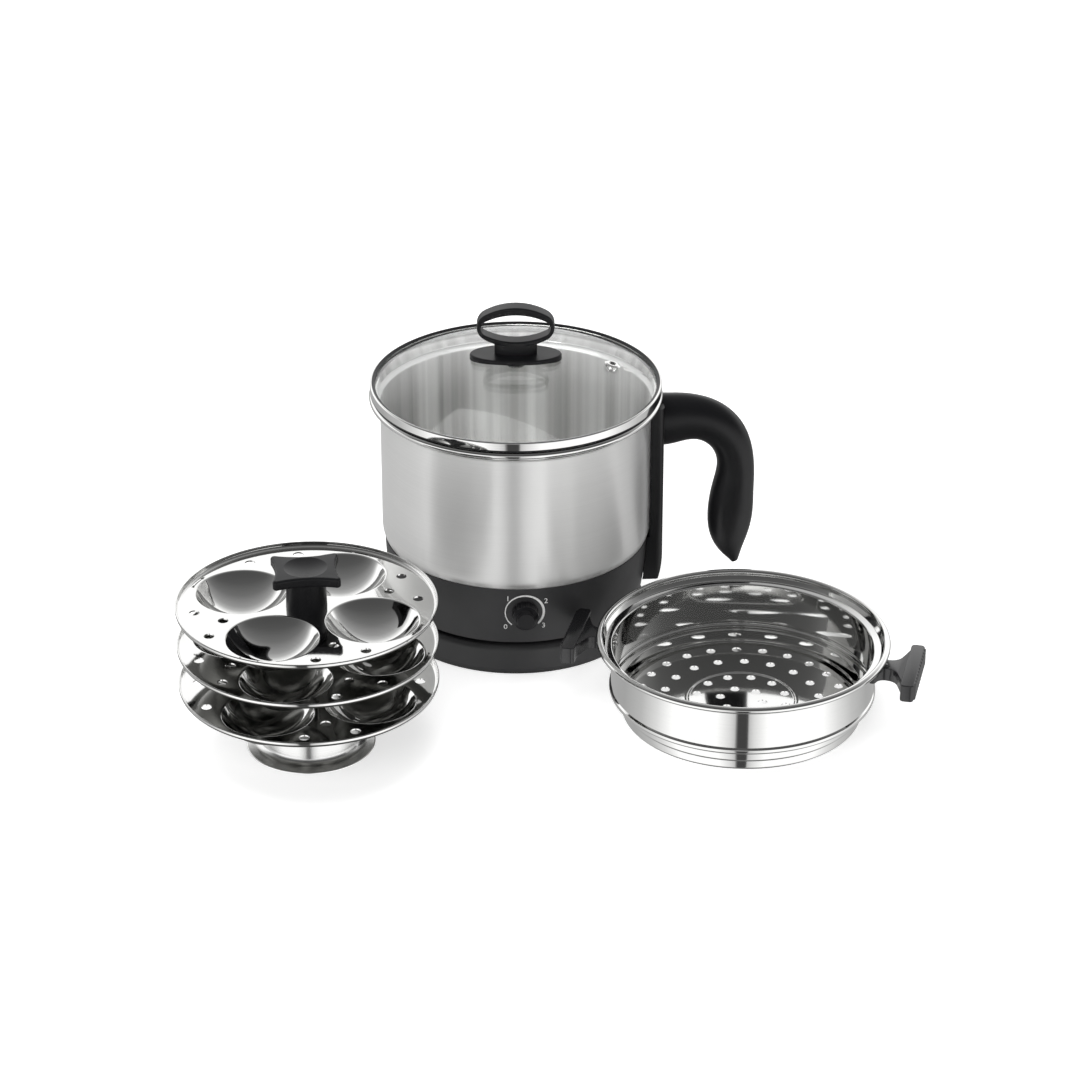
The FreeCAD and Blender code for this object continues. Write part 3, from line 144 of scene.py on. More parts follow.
class Paint:
    """Builds the nodes of one material or of the world."""

    def __init__(self, owner: bpy.types.ID) -> None:
        """Take over a node tree.

        Args:
            owner: the material or the world that it belongs to.
        """
        self.owner = owner
        owner.use_nodes = True
        self.tree = owner.node_tree

    @classmethod
    def named(cls, name: str) -> Paint:
        """Start a material with the usual surface shader."""
        return cls(bpy.data.materials.new(name))

    def node(
        self,
        kind: str,
        settings: dict[str, object] | None = None,
        sockets: dict[int | str, Feed] | None = None,
        output: int | str = 0,
    ) -> Signal:
        """Add a node.

        Args:
            kind: the node's type.
            settings: its own settings; "stops" are a ramp's (place, colour) pairs.
            sockets: values or links of its inputs.
            output: the output that is wanted.

        Returns:
            That output.
        """
        made = self.tree.nodes.new(kind)
        for key, setting in (settings or {}).items():
            if key == "stops":
                self._set_stops(made.color_ramp.elements, setting)
            else:
                setattr(made, key, setting)
        for key, feed in (sockets or {}).items():
            self.feed(made.inputs[key], feed)
        return Signal(self, made.outputs[output])

    @staticmethod
    def _set_stops(elements: bpy.types.ColorRampElements, stops: Sequence[Stop]) -> None:
        """Give a ramp its stops.

        Args:
            elements: the ramp's own stops.
            stops: the wanted places and colours.
        """
        while len(elements) < len(stops):
            elements.new(0.5)
        for element, (place, colour) in zip(elements, stops):
            element.position = place
            element.color = (*colour, 1.0)

    def feed(self, socket: bpy.types.NodeSocket, feed: Feed) -> None:
        """Link a signal to a socket, or set the socket's own value.

        Args:
            socket: the socket to feed.
            feed: a signal, a number or a row of numbers.
        """
        if isinstance(feed, Signal):
            self.tree.links.new(feed.socket, socket)
        elif isinstance(feed, (int, float)):
            socket.default_value = feed
        else:
            size = len(socket.default_value)
            socket.default_value = (*feed, 1.0)[:size]

    def existing(self, kind: str) -> bpy.types.Node:
        """The node of one type that the tree starts with."""
        return next(node for node in self.tree.nodes if node.type == kind)

    def surface(self, sockets: dict[str, Feed]) -> bpy.types.Material:
        """Feed the surface shader.

        Args:
            sockets: values or links of its inputs by name.

        Returns:
            The finished material.
        """
        shader = self.existing("BSDF_PRINCIPLED")
        for name, feed in sockets.items():
            self.feed(shader.inputs[name], feed)
        return self.owner

    def place(self, stretch: Sequence[float] = (1, 1, 1)) -> Signal:
        """The piece's own coordinates in metres, stretched."""
        spot = self.node("ShaderNodeTexCoord", output="Object")
        return self.node("ShaderNodeMapping", {}, {"Vector": spot, "Scale": stretch})

    def split(self, spot: Signal) -> list[Signal]:
        """The three coordinates of a place or a heading."""
        return [self.node("ShaderNodeSeparateXYZ", {}, {0: spot}, output=axis) for axis in range(3)]

    def noise(self, spot: Signal, scale: float, detail: float, rough: float = 0.5) -> Signal:
        """Soft noise between 0 and 1."""
        sockets = {"Vector": spot, "Scale": scale, "Detail": detail, "Roughness": rough}
        return self.node("ShaderNodeTexNoise", {}, sockets)

    def band(
        self, signal: Signal, low: float, high: float, least: float = 0.0, most: float = 1.0
    ) -> Signal:
        """Stretch a signal's range from low..high to least..most, held at both ends."""
        sockets = {"Value": signal, "From Min": low, "From Max": high, "To Min": least, "To Max": most}
        return self.node("ShaderNodeMapRange", {"clamp": True}, sockets)

    def tint(self, share: Signal, first: Feed, second: Feed) -> Signal:
        """Blend two colours by a share."""
        settings = {"data_type": "RGBA"}
        return self.node("ShaderNodeMix", settings, {0: share, 6: first, 7: second}, output=2)

    def ramp(self, share: Signal, greys: Sequence[tuple[float, float]]) -> Signal:
        """Look up a grey by a share, with each stop a place and a grey."""
        stops = [(place, (grey, grey, grey)) for place, grey in greys]
        return self.node("ShaderNodeValToRGB", {"stops": stops}, {0: share})

    def bump(self, height: Signal, depth: float) -> Signal:
        """Turn a height from 0 to 1 into a bumped normal, with its depth in millimetres."""
        return self.node("ShaderNodeBump", {}, {"Height": height, "Distance": depth * MM})

    def in_view(self) -> Signal:
        """Tell what the camera sees, straight on or through glass, from light and reflections.

        Returns:
            1 for what it sees and 0 for the rest.
        """
        straight = self.node("ShaderNodeLightPath", output="Is Camera Ray")
        through = self.node("ShaderNodeLightPath", output="Is Transmission Ray")
        return straight.highest(through)


class Slot(Enum):
    """The record's material slots."""

    BLACK_PLASTIC = "black_plastic"
    SATIN_STEEL = "satin_steel"
    POLISHED_STEEL = "polished_steel"
    PLATED_STEEL = "plated_steel"
    CLEAR_GLASS = "clear_glass"
    BRASS = "brass"
    ALUMINIUM = "aluminium"
    RUBBER = "rubber"
    MOULDED_RESIN = "moulded_resin"


@dataclass(frozen=True)
class Steel:
    """Steel sheet with fine lines along or round the piece, and faint smears.

    A drawn sheet spreads its reflections upright, a brushed one is less of a mirror, and a pot's wall
    inside its inner radius gets painted reflection: upright darker bands tinted into its colour. Each
    layer of these bands is a scale, a detail, the noise's range and the layer's share.
    """

    name: str
    slot: Slot
    colour: Colour = (0.88, 0.88, 0.87)
    shade: Colour = (0.82, 0.82, 0.81)
    # colour of the painted reflection bands on the pot's inner wall
    streak: Colour = (0.17, 0.165, 0.155)
    roughness: float = 0.08
    smear: float = 0.05
    lines: Sequence[float] = (40, 40, 3000)
    line_range: Point = (0.3, 0.7)
    line_share: float = 0.6
    cloud_scale: float = 26.0
    cloud_range: Point = (0.35, 0.75)
    depth: float = 0.004
    drawn: float = 0.0
    quarter_turn: float = 0.25
    mirror: float = 1.0
    inside: float = 0.0
    floor: float = 0.0
    rise: float = 16.0
    reflection_band_layers: tuple[tuple[float, ...], ...] = (
        (3.2, 1, 0.42, 0.58, 0.7),
        (13, 2, 0.38, 0.62, 0.3),
    )

    def material(self) -> bpy.types.Material:
        """Mix the finish.

        Returns:
            Its material.
        """
        paint = Paint.named(self.name)
        streak = paint.noise(paint.place(self.lines), 1.0, 3, 0.6)
        film = paint.band(paint.noise(paint.place(), self.cloud_scale, 3), *self.cloud_range)
        grain = paint.band(streak, *self.line_range)
        more, less = self.line_share, 1 - self.line_share
        colour = paint.tint(grain * more + film * less, self.colour, self.shade)
        # painted reflection: darker upright bands on the pot's inner wall stand in for the satin steel's
        # reflection bands
        if self.inside:
            colour = paint.tint(self.painted_reflection_bands(paint), colour, self.streak)
        return paint.surface({
            "Base Color": colour,
            "Metallic": self.mirror,
            "Roughness": self.roughness + self.smear * (film * more + grain * less),
            "Anisotropic": self.drawn,
            "Anisotropic Rotation": self.quarter_turn,
            "Normal": paint.bump(streak, self.depth),
        })

    def painted_reflection_bands(self, paint: Paint) -> Signal:
        """Painted reflection: upright darker bands that run down the wall inside the inner radius.

        Args:
            paint: the paint that gets the nodes.

        Returns:
            The share of the streak's colour.
        """
        x, y, z = paint.split(paint.place())
        reach = (x * x + y * y) ** 0.5
        within = paint.band(reach, (self.inside - 0.1) * MM, (self.inside + 0.5) * MM, 1.0, 0.0)
        upright = paint.band(z, self.floor * MM, (self.floor + self.rise) * MM)
        level = paint.node("ShaderNodeCombineXYZ", {}, {0: x, 1: y})
        outward = paint.node("ShaderNodeVectorMath", {"operation": "NORMALIZE"}, {0: level})
        broad, fine = [
            paint.band(paint.noise(outward, scale, detail), low, high) * share
            for scale, detail, low, high, share in self.reflection_band_layers
        ]
        return within * upright * (broad + fine)


@dataclass(frozen=True)
class Plastic:
    """Moulded plastic with a fine spark-eroded skin that is worn smoother in places."""

    name: str
    slot: Slot = Slot.BLACK_PLASTIC
    colour: Colour = (0.006, 0.006, 0.007)
    pale: Colour = (0.010, 0.010, 0.011)
    roughness: float = 0.36
    wear: float = 0.08
    wear_scale: float = 38.0
    wear_range: Point = (0.35, 0.7)
    gloss: float = 0.32
    skin: float = 2600.0
    pitting: float = 0.06
    depth: float = 0.008

    def material(self) -> bpy.types.Material:
        """Mix the finish.

        Returns:
            Its material.
        """
        paint = Paint.named(self.name)
        skin = paint.noise(paint.place(), self.skin, 2)
        handled = paint.band(paint.noise(paint.place(), self.wear_scale, 3), *self.wear_range)
        return paint.surface({
            "Base Color": paint.tint(handled * 0.5 + skin * 0.5, self.colour, self.pale),
            "Roughness": self.roughness - self.wear * handled + self.pitting * skin,
            "Specular IOR Level": self.gloss,
            "Normal": paint.bump(skin, self.depth),
        })


@dataclass(frozen=True)
class Glass:
    """Clear toughened glass with a breath of film."""

    name: str = "clear_glass"
    slot: Slot = Slot.CLEAR_GLASS
    colour: Colour = (0.985, 0.992, 0.988)
    roughness: float = 0.004
    film: float = 0.02
    film_scale: float = 22.0
    film_range: Point = (0.45, 0.8)
    refraction: float = 1.45

    def material(self) -> bpy.types.Material:
        """Mix the finish.

        Returns:
            Its material.
        """
        paint = Paint.named(self.name)
        film = paint.band(paint.noise(paint.place(), self.film_scale, 3), *self.film_range)
        return paint.surface({
            "Base Color": self.colour,
            "Roughness": self.roughness + self.film * film,
            "Transmission Weight": 1.0,
            "IOR": self.refraction,
        })


@dataclass(frozen=True)
class Print:
    """Screen-printed ink, slightly uneven."""

    name: str = "dial_print"
    slot: Slot = Slot.BLACK_PLASTIC
    colour: Colour = (0.82, 0.82, 0.81)
    thin: Colour = (0.66, 0.66, 0.65)
    roughness: float = 0.45
    unevenness: float = 0.15
    coat_scale: float = 900.0
    coat_range: Point = (0.35, 0.75)

    def material(self) -> bpy.types.Material:
        """Mix the finish.

        Returns:
            Its material.
        """
        paint = Paint.named(self.name)
        coat = paint.noise(paint.place(), self.coat_scale, 2)
        return paint.surface({
            "Base Color": paint.tint(paint.band(coat, *self.coat_range), self.colour, self.thin),
            "Roughness": self.roughness + self.unevenness * coat,
        })


class Finishes:
    """Every finish of the set, mixed once; a slot's first recipe is its usual one."""

    recipes = {
        # the pot's satin steel; inside and floor place the painted reflection bands on its inner wall
        "satin": Steel(
            "satin_steel", Slot.SATIN_STEEL, roughness=0.33, smear=0.03, lines=(12, 12, 2200),
            depth=0.0003, drawn=0.9, mirror=0.58, inside=73.2, floor=47.0,
        ),
        "polished": Steel(
            "polished_steel", Slot.POLISHED_STEEL, roughness=0.045, smear=0.03, depth=0.002,
        ),
        "spun": Steel("spun_steel", Slot.POLISHED_STEEL, roughness=0.21, drawn=0.5, depth=0.002),
        # painted shade: a dark colour on the plates' undersides stands in for the shade under each plate,
        # with a rougher finish
        "shaded_underside": Steel(
            "shaded_underside_steel", Slot.POLISHED_STEEL, roughness=0.32,
            colour=(0.22, 0.22, 0.21), shade=(0.16, 0.16, 0.15),
        ),
        "plated": Steel(
            "plated_steel", Slot.PLATED_STEEL, roughness=0.24, lines=(900, 900, 900),
            colour=(0.66, 0.66, 0.67), shade=(0.5, 0.5, 0.5),
        ),
        "aluminium": Steel(
            "cast_aluminium", Slot.ALUMINIUM, roughness=0.38, lines=(700, 700, 700), depth=0.03,
            colour=(0.72, 0.72, 0.73), shade=(0.55, 0.55, 0.56),
        ),
        "brass": Steel(
            "brass_contact", Slot.BRASS, roughness=0.25, lines=(700, 700, 700),
            colour=(0.72, 0.50, 0.20), shade=(0.55, 0.36, 0.13),
        ),
        "black": Plastic("black_plastic"),
        "charcoal": Plastic(
            "charcoal_plastic", roughness=0.46, gloss=0.4,
            colour=(0.026, 0.026, 0.027), pale=(0.033, 0.033, 0.034),
        ),
        "glossy": Plastic(
            "glossy_plastic", roughness=0.18, wear=0.04, gloss=0.65, depth=0.003,
            colour=(0.010, 0.010, 0.011), pale=(0.015, 0.015, 0.016),
        ),
        "resin": Plastic(
            "moulded_resin", Slot.MOULDED_RESIN,
            colour=(0.16, 0.11, 0.07), pale=(0.22, 0.16, 0.10),
        ),
        "rubber": Plastic(
            "rubber", Slot.RUBBER, roughness=0.75,
            colour=(0.035, 0.035, 0.036), pale=(0.06, 0.06, 0.06),
        ),
        "glass": Glass(),
        "print": Print(),
    }

    exceptions = {"base_collar": "charcoal", "power_base_shell": "charcoal"}

    def __init__(self) -> None:
        """Mix all the recipes."""
        self.materials = {name: recipe.material() for name, recipe in self.recipes.items()}

    def dress(self, piece: Piece, finish: str) -> None:
        """Give a piece or a carried-over solid a finish.

        Args:
            piece: the object to dress.
            finish: the recipe's name.
        """
        piece.data.materials.clear()
        piece.data.materials.append(self.materials[finish])

    def dress_solids(self) -> None:
        """Give every carried-over solid the finish of its own slot."""
        by_slot: dict[Slot, str] = {}
        for name, recipe in self.recipes.items():
            by_slot.setdefault(recipe.slot, name)
        for row in frame["record"]["subparts"]:
            usual = by_slot[Slot(row["material_slot"])]
            self.dress(frame["nodes"][row["node"]], self.exceptions.get(row["node"], usual))

    def dress_some(
        self, piece: Piece, finish: str, wanted: Callable[[bpy.types.MeshPolygon], bool]
    ) -> None:
        """Give the wanted faces of a dressed piece a finish of their own.

        Args:
            piece: the dressed object.
            finish: the recipe's name.
            wanted: tells whether a face is wanted.
        """
        piece.data.materials.append(self.materials[finish])
        for face in piece.data.polygons:
            if wanted(face):
                face.material_index = 1


def near(first: Vector, second: Vector) -> bool:
    """Tell whether two places are the same."""
    return (first - second).length < 10 * TINY


def arc(centre: Point, radius: float, first: float, last: float, step: float = 12.0) -> list[Point]:
    """Points along an arc.

    Args:
        centre: the arc's centre.
        radius: its radius.
        first: its first angle in degrees.
        last: its last angle in degrees.
        step: the widest angle between two points.

    Returns:
        The points, both ends included.
    """
    count = max(2, math.ceil(abs(last - first) / step))
    turns = [math.radians(first + (last - first) * index / count) for index in range(count + 1)]
    x, y = centre
    return [(x + radius * math.cos(turn), y + radius * math.sin(turn)) for turn in turns]


def rounded(corners: Sequence[Corner], closed: bool = False, step: float = 15.0) -> list[Point]:
    """Round the corners of an outline.

    Args:
        corners: two coordinates each, and a third number where the corner has a radius.
        closed: whether the last corner leads back to the first.
        step: the widest angle between two points of a round.

    Returns:
        The outline's points.
    """
    points: list[Point] = []
    for index, corner in enumerate(corners):
        at_end = index in (0, len(corners) - 1) and not closed
        if len(corner) == 2 or at_end:
            points.append((corner[0], corner[1]))
            continue
        here = Vector(corner[:2])
        back = (Vector(corners[index - 1][:2]) - here).normalized()
        onward = (Vector(corners[(index + 1) % len(corners)][:2]) - here).normalized()
        half = back.angle(onward) / 2
        centre = here + (back + onward).normalized() * corner[2] / math.sin(half)
        first, last = [here + side * corner[2] / math.tan(half) - centre for side in (back, onward)]
        start = math.degrees(math.atan2(first.y, first.x))
        sweep = math.degrees(math.atan2(last.y, last.x)) - start
        sweep = (sweep + 180) % 360 - 180
        points.extend(arc((centre.x, centre.y), corner[2], start, start + sweep, step))
    return points


class Bench:
    """Modelling moves, each made with Blender's own operators; lengths are in millimetres."""

    hole_sides = 24
    smooth_angle = 35.0

    def __init__(self, finishes: Finishes) -> None:
        """Keep the finishes at hand."""
        self.finishes = finishes

    @staticmethod
    def pick(
        piece: Piece, group: str, wanted: Callable[[bmesh.types.BMVert | bmesh.types.BMEdge], bool]
    ) -> None:
        """Select the points or the edges of a piece that pass a test.

        Args:
            piece: the piece, in edit mode.
            group: "verts" for the points or "edges" for the edges.
            wanted: the test.
        """
        bpy.ops.mesh.select_all(action="DESELECT")
        mesh = bmesh.from_edit_mesh(piece.data)
        for part in getattr(mesh, group):
            if wanted(part):
                part.select = True
        mesh.select_flush_mode()
        bmesh.update_edit_mesh(piece.data)

    def trace(self, name: str, spots: Sequence[Sequence[float]], closed: bool = False) -> Piece:
        """Draw a line of points, each extruded from the last, as a new piece or into the edited one.

        Args:
            name: the piece's name.
            spots: the places of the points.
            closed: whether the line runs back to its start.

        Returns:
            The piece, in edit mode with the line selected.
        """
        places = [Vector(spot) * MM for spot in spots]
        adding = bpy.context.mode == "EDIT_MESH"
        if not adding:
            bpy.ops.object.select_all(action="DESELECT")
        bpy.ops.mesh.primitive_plane_add(size=MM, location=places[0])
        piece = bpy.context.object
        if not adding:
            piece.name = name
            bpy.ops.object.transform_apply(location=True)
            bpy.ops.object.mode_set(mode="EDIT")
            bpy.ops.mesh.select_mode(type="VERT")
            bpy.ops.mesh.select_all(action="SELECT")
        bpy.ops.mesh.merge(type="CENTER")
        for start, stop in zip(places, places[1:]):
            bpy.ops.mesh.extrude_region_move(TRANSFORM_OT_translate={"value": stop - start})
        if closed:
            ends = (places[0], places[-1])

            def at_end(point: bmesh.types.BMVert) -> bool:
                """Tell whether a point is one of the line's ends."""
                return any(near(piece.matrix_world @ point.co, end) for end in ends)

            self.pick(piece, "verts", at_end)
            bpy.ops.mesh.edge_face_add()
        bpy.ops.mesh.select_linked()
        return piece

    @staticmethod
    def spin(steps: int, centre: Point = (0.0, 0.0)) -> None:
        """Spin the selected line once round an upright axis and close the seam.

        Args:
            steps: the number of steps round.
            centre: where the axis stands.
        """
        axis = (centre[0] * MM, centre[1] * MM, 0)
        bpy.ops.mesh.spin(steps=steps, angle=math.tau, center=axis, axis=(0, 0, 1))
        bpy.ops.mesh.select_linked()
        bpy.ops.mesh.remove_doubles(threshold=2 * TINY)

    @staticmethod
    def ring_of(count: int) -> None:
        """Repeat what is selected round the upright axis, with copies at equal angles."""
        angle = math.tau * (count - 1) / count
        bpy.ops.mesh.spin(steps=count - 1, dupli=True, angle=angle, center=(0, 0, 0), axis=(0, 0, 1))

    def lathe(self, name: str, outline: Sequence[Point], steps: int = 128, closed: bool = False) -> Piece:
        """Turn an outline of radii and heights about the upright axis.

        Args:
            name: the piece's name.
            outline: the points; a sheet's line runs from its rim to its middle, along the side
                that is seen.
            steps: the number of steps round.
            closed: whether the outline is closed.

        Returns:
            The piece, in edit mode.
        """
        piece = self.trace(name, [(radius, 0, height) for radius, height in outline], closed)
        self.spin(steps)
        if closed:
            bpy.ops.mesh.normals_make_consistent(inside=False)
        return piece

    def plug(self, name: str, plan: Sequence[Point], low: float, high: float) -> Piece:
        """Raise a closed plan from one level to another.

        Args:
            name: the piece's name.
            plan: the outline seen from above.
            low: the lower level.
            high: the upper level.

        Returns:
            The solid piece, in edit mode.
        """
        piece = self.trace(name, [(x, y, low) for x, y in plan], closed=True)
        bpy.ops.mesh.edge_face_add()
        bpy.ops.mesh.extrude_region_move(TRANSFORM_OT_translate={"value": (0, 0, (high - low) * MM)})
        bpy.ops.mesh.select_all(action="SELECT")
        bpy.ops.mesh.normals_make_consistent(inside=False)
        return piece

    @staticmethod
    def face_up(piece: Piece) -> None:
        """Make a filled sheet's faces agree, with the flat ones facing up.

        Args:
            piece: the sheet, in edit mode.
        """
        bpy.ops.mesh.select_all(action="SELECT")
        bpy.ops.mesh.normals_make_consistent(inside=False)
        mesh = bmesh.from_edit_mesh(piece.data)
        if sum(face.normal.z * face.calc_area() for face in mesh.faces) < 0:
            bpy.ops.mesh.flip_normals()

    def drill_rings(self, level: float, radius: float, rings: Sequence[Ring]) -> None:
        """Draw rings of hole outlines in the plane of the sheet that is being edited.

        Args:
            level: the level of the sheet.
            radius: the holes' radius.
            rings: each ring's radius, first angle in degrees and number of holes.
        """
        for distance, angle, count in rings:
            turn = math.radians(angle)
            spot = Vector((distance * math.cos(turn), distance * math.sin(turn), level)) * MM
            bpy.ops.mesh.primitive_circle_add(
                vertices=self.hole_sides, radius=radius * MM, location=spot, fill_type="NOTHING"
            )
            if count > 1:
                self.ring_of(count)

    def fill_level(self, piece: Piece, level: float) -> None:
        """Fill the flat between all open edges that lie at one level.

        Args:
            piece: the sheet, in edit mode.
            level: the level to fill.
        """

        def open_there(edge: bmesh.types.BMEdge) -> bool:
            """Tell whether an edge is open and at the level."""
            level_ends = [abs(point.co.z - level * MM) < 5 * TINY for point in edge.verts]
            return len(edge.link_faces) < 2 and all(level_ends)

        self.pick(piece, "edges", open_there)
        bpy.ops.mesh.fill(use_beauty=True)
        self.face_up(piece)

    @staticmethod
    def settle(piece: Piece) -> None:
        """Leave edit mode with only this piece selected.

        Args:
            piece: the piece, in either mode.
        """
        bpy.ops.object.mode_set(mode="OBJECT")
        bpy.ops.object.select_all(action="DESELECT")
        piece.select_set(True)
        bpy.context.view_layer.objects.active = piece

    def shape(self, piece: Piece, kind: str, settings: dict[str, object]) -> None:
        """Add a modifier to a piece and apply it.

        Args:
            piece: the piece, in either mode.
            kind: the modifier's type.
            settings: its settings.
        """
        self.settle(piece)
        modifier = piece.modifiers.new(kind.lower(), kind)
        for key, setting in settings.items():
            setattr(modifier, key, setting)
        bpy.ops.object.modifier_apply(modifier=modifier.name)

    def thicken(self, piece: Piece, sheet: float) -> None:
        """Give a sheet its thickness, away from the side that its faces show."""
        self.shape(piece, "SOLIDIFY", {"thickness": sheet * MM, "offset": -1.0, "use_even_offset": True})

    def soften(self, piece: Piece, width: float, segments: int, angle: float) -> None:
        """Break the sharp edges of a piece.

        Args:
            piece: the piece, in either mode.
            width: the width of a broken edge.
            segments: the number of faces across it.
            angle: the angle in degrees past which an edge is sharp.
        """
        self.shape(piece, "BEVEL", {
            "width": width * MM,
            "segments": segments,
            "limit_method": "ANGLE",
            "angle_limit": math.radians(angle),
            "use_clamp_overlap": True,
            "miter_outer": "MITER_ARC",
        })

    def stand(self, piece: Piece, place: Sequence[float], turn: float = 0.0) -> None:
        """Move a finished piece to its place and apply that to its mesh.

        Args:
            piece: the piece, in either mode.
            place: where its own origin goes.
            turn: its turn about the upright axis in degrees.
        """
        self.settle(piece)
        piece.location = Vector(place) * MM
        piece.rotation_euler = (0, 0, math.radians(turn))
        bpy.ops.object.transform_apply(location=True, rotation=True, scale=True)

    def twin(self, piece: Piece, name: str) -> Piece:
        """Copy a piece.

        Args:
            piece: the piece, in either mode.
            name: the copy's name.

        Returns:
            The copy, with a mesh of its own.
        """
        self.settle(piece)
        bpy.ops.object.duplicate()
        copy = bpy.context.object
        copy.name = name
        return copy

    def hand_in(self, piece: Piece, finish: str, body: str, nodes: Sequence[str] = ()) -> None:
        """Shade, dress and seat a finished piece.

        Args:
            piece: the piece, in either mode.
            finish: its finish.
            body: the body that it rides on.
            nodes: the solids that it stands for.
        """
        self.settle(piece)
        bpy.ops.object.shade_smooth_by_angle(angle=math.radians(self.smooth_angle))
        self.finishes.dress(piece, finish)
        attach(piece, body)
        if nodes:
            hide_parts(*nodes)
        LOG.info("%s: %d faces in %s, on %s", piece.name, len(piece.data.polygons), finish, body)


@dataclass
class Kettle:
    """Drawn pot with a rolled rim, and the printed scale round the dial."""

    bench: Bench
    wall: float = 73.2
    floor: float = 45.8
    corner: float = 15.2
    sheet: float = 0.8
    neck: float = 130.8
    polish_gap: float = 1.4
    shoulder: float = 133.0
    rim: Point = (78.0, 136.0)
    roll: float = 2.0
    dial: Point = (0.0, 39.2)
    front: float = -80.0
    scale_radius: float = 10.9
    scale_sweep: Point = (229.0, -46.0)
    scale_slimming: float = 0.915
    scale_shift: float = 4.5
    number_size: float = 4.4
    numbers: tuple[tuple[str, float, float], ...] = (
        ("0", -10.4, -9.4),
        ("1", -9.2, 8.6),
        ("2", 11.4, 6.4),
        ("3", 10.2, -9.2),
    )
    ink: float = 0.06

    def build(self) -> None:
        """Make the kettle's pieces."""
        self.make_pot()
        self.make_scale()
        for text, across, above in self.numbers:
            self.make_number(text, across, above)

    def make_pot(self) -> None:
        """Spin the pot from its rolled rim down to the middle of its floor."""
        outline = arc(self.rim, self.roll, *ROLLED)
        outline += rounded([
            outline[-1],
            (self.rim[0] - self.roll + 0.2, self.shoulder, 0.9),
            (self.wall, self.neck, 1.2),
            (self.wall, self.floor, self.corner),
            (0.0, self.floor),
        ], step=8)[1:]
        pot = self.bench.lathe("pot_shell", outline, steps=192)
        self.bench.thicken(pot, self.sheet)
        self.bench.hand_in(pot, "satin", "kettle", ["pot"])
        bead = (self.neck + self.polish_gap) * MM
        self.bench.finishes.dress_some(pot, "polished", lambda face: face.center.z > bead)

    def make_scale(self) -> None:
        """Print the dial's growing band on the collar."""
        across, level = self.dial
        sweep = arc(self.dial, self.scale_radius, *self.scale_sweep, 6)
        band = self.bench.trace("dial_band", [(x, self.front, z) for x, z in sweep])
        bpy.ops.mesh.extrude_edges_move()
        centre = Vector((across - self.scale_shift, self.front, level)) * MM
        size = self.scale_slimming
        bpy.ops.transform.resize(value=(size, 1, size), center_override=centre)
        self.print_on(band)

    def make_number(self, text: str, across: float, above: float) -> None:
        """Print one plain number of the scale on the collar.

        Args:
            text: the number.
            across: its place to the right of the dial's middle.
            above: its place above the dial's middle.
        """
        bpy.ops.object.select_all(action="DESELECT")
        place = Vector((self.dial[0] + across, self.front, self.dial[1] + above)) * MM
        bpy.ops.object.text_add(location=place, rotation=(math.radians(90), 0, 0))
        letter = bpy.context.object.data
        letter.body = text
        letter.size = self.number_size * MM
        letter.align_x = "CENTER"
        letter.align_y = "CENTER"
        bpy.ops.object.convert(target="MESH")
        number = bpy.context.object
        number.name = f"dial_number_{text}"
        bpy.ops.object.transform_apply(location=True, rotation=True, scale=True)
        bpy.ops.object.mode_set(mode="EDIT")
        self.print_on(number)

    def print_on(self, ink: Piece) -> None:
        """Lay flat ink on the collar.

        Args:
            ink: the flat shape in front of the dial, in edit mode.
        """
        bpy.ops.mesh.select_all(action="SELECT")
        bpy.ops.mesh.remove_doubles(threshold=TINY)
        bpy.ops.mesh.normals_make_consistent(inside=False)
        self.bench.shape(ink, "SHRINKWRAP", {
            "target": frame["nodes"]["base_collar"],
            "wrap_method": "PROJECT",
            "use_project_y": True,
            "use_positive_direction": True,
            "use_negative_direction": True,
            "offset": self.ink * MM,
        })
        self.bench.shape(ink, "SOLIDIFY", {"thickness": self.ink * 0.8 * MM, "offset": 0.0})
        self.bench.hand_in(ink, "print", "kettle")


@dataclass
class Lid:
    """Rolled steel ring of the glass lid, dressed black on the slope next to the glass and with painted
    crevice shade on the lip under the steel.
    """

    bench: Bench
    outside: float = 79.4
    low: float = 138.3
    top: float = 144.2
    edge: float = 1.0
    lip: float = 76.6
    slope: float = 0.95
    slope_end: float = 1.15
    # height of the outer lip that is dressed black as painted shade of the crevice under the ring
    shaded_lip: float = 1.3
    groove: float = 78.6
    shelf: float = 139.0
    skirt_inside: float = 74.6
    skirt_outside: float = 75.3
    skirt_low: float = 133.8

    def build(self) -> None:
        """Make the lid's ring, dressed black next to the glass and under the steel, where the black under
        the steel is painted crevice shade.
        """
        outline = rounded([
            (self.outside, self.low, 1.0),
            (self.outside, self.low + self.shaded_lip),
            (self.outside, self.top, 0.9),
            (self.outside - self.edge, self.top, 0.3),
            (self.lip, self.top - self.slope),
            (self.lip + 0.1, self.top - 1.2),
            (self.groove, self.top - 1.72),
            (self.groove, self.shelf),
            (self.skirt_inside, self.shelf),
            (self.skirt_inside, self.skirt_low, 0.3),
            (self.skirt_outside, self.skirt_low, 0.3),
            (self.skirt_outside, self.low),
        ], closed=True)
        ring = self.bench.lathe("lid_ring", outline, steps=192, closed=True)
        self.bench.hand_in(ring, "polished", "lid", ["lid_rim_ring"])
        # the slope next to the glass is dressed black; the black on the lip under the steel is painted
        # crevice shade
        self.bench.finishes.dress_some(ring, "black", self.is_black_slope_or_shaded_lip)

    def is_black_slope_or_shaded_lip(self, face: bpy.types.MeshPolygon) -> bool:
        """Tell whether a face of the ring is the slope next to the glass or the lip under the steel.

        Args:
            face: the face.

        Returns:
            Whether it is dressed black: the slope, or the lip whose black is painted crevice shade.
        """
        inward = math.hypot(face.center.x, face.center.y) < (self.outside - self.edge) * MM
        slope = inward and face.normal.z > 0.5 and face.center.z > (self.top - self.slope_end) * MM
        return slope or (not inward and face.center.z < (self.low + self.shaded_lip) * MM)


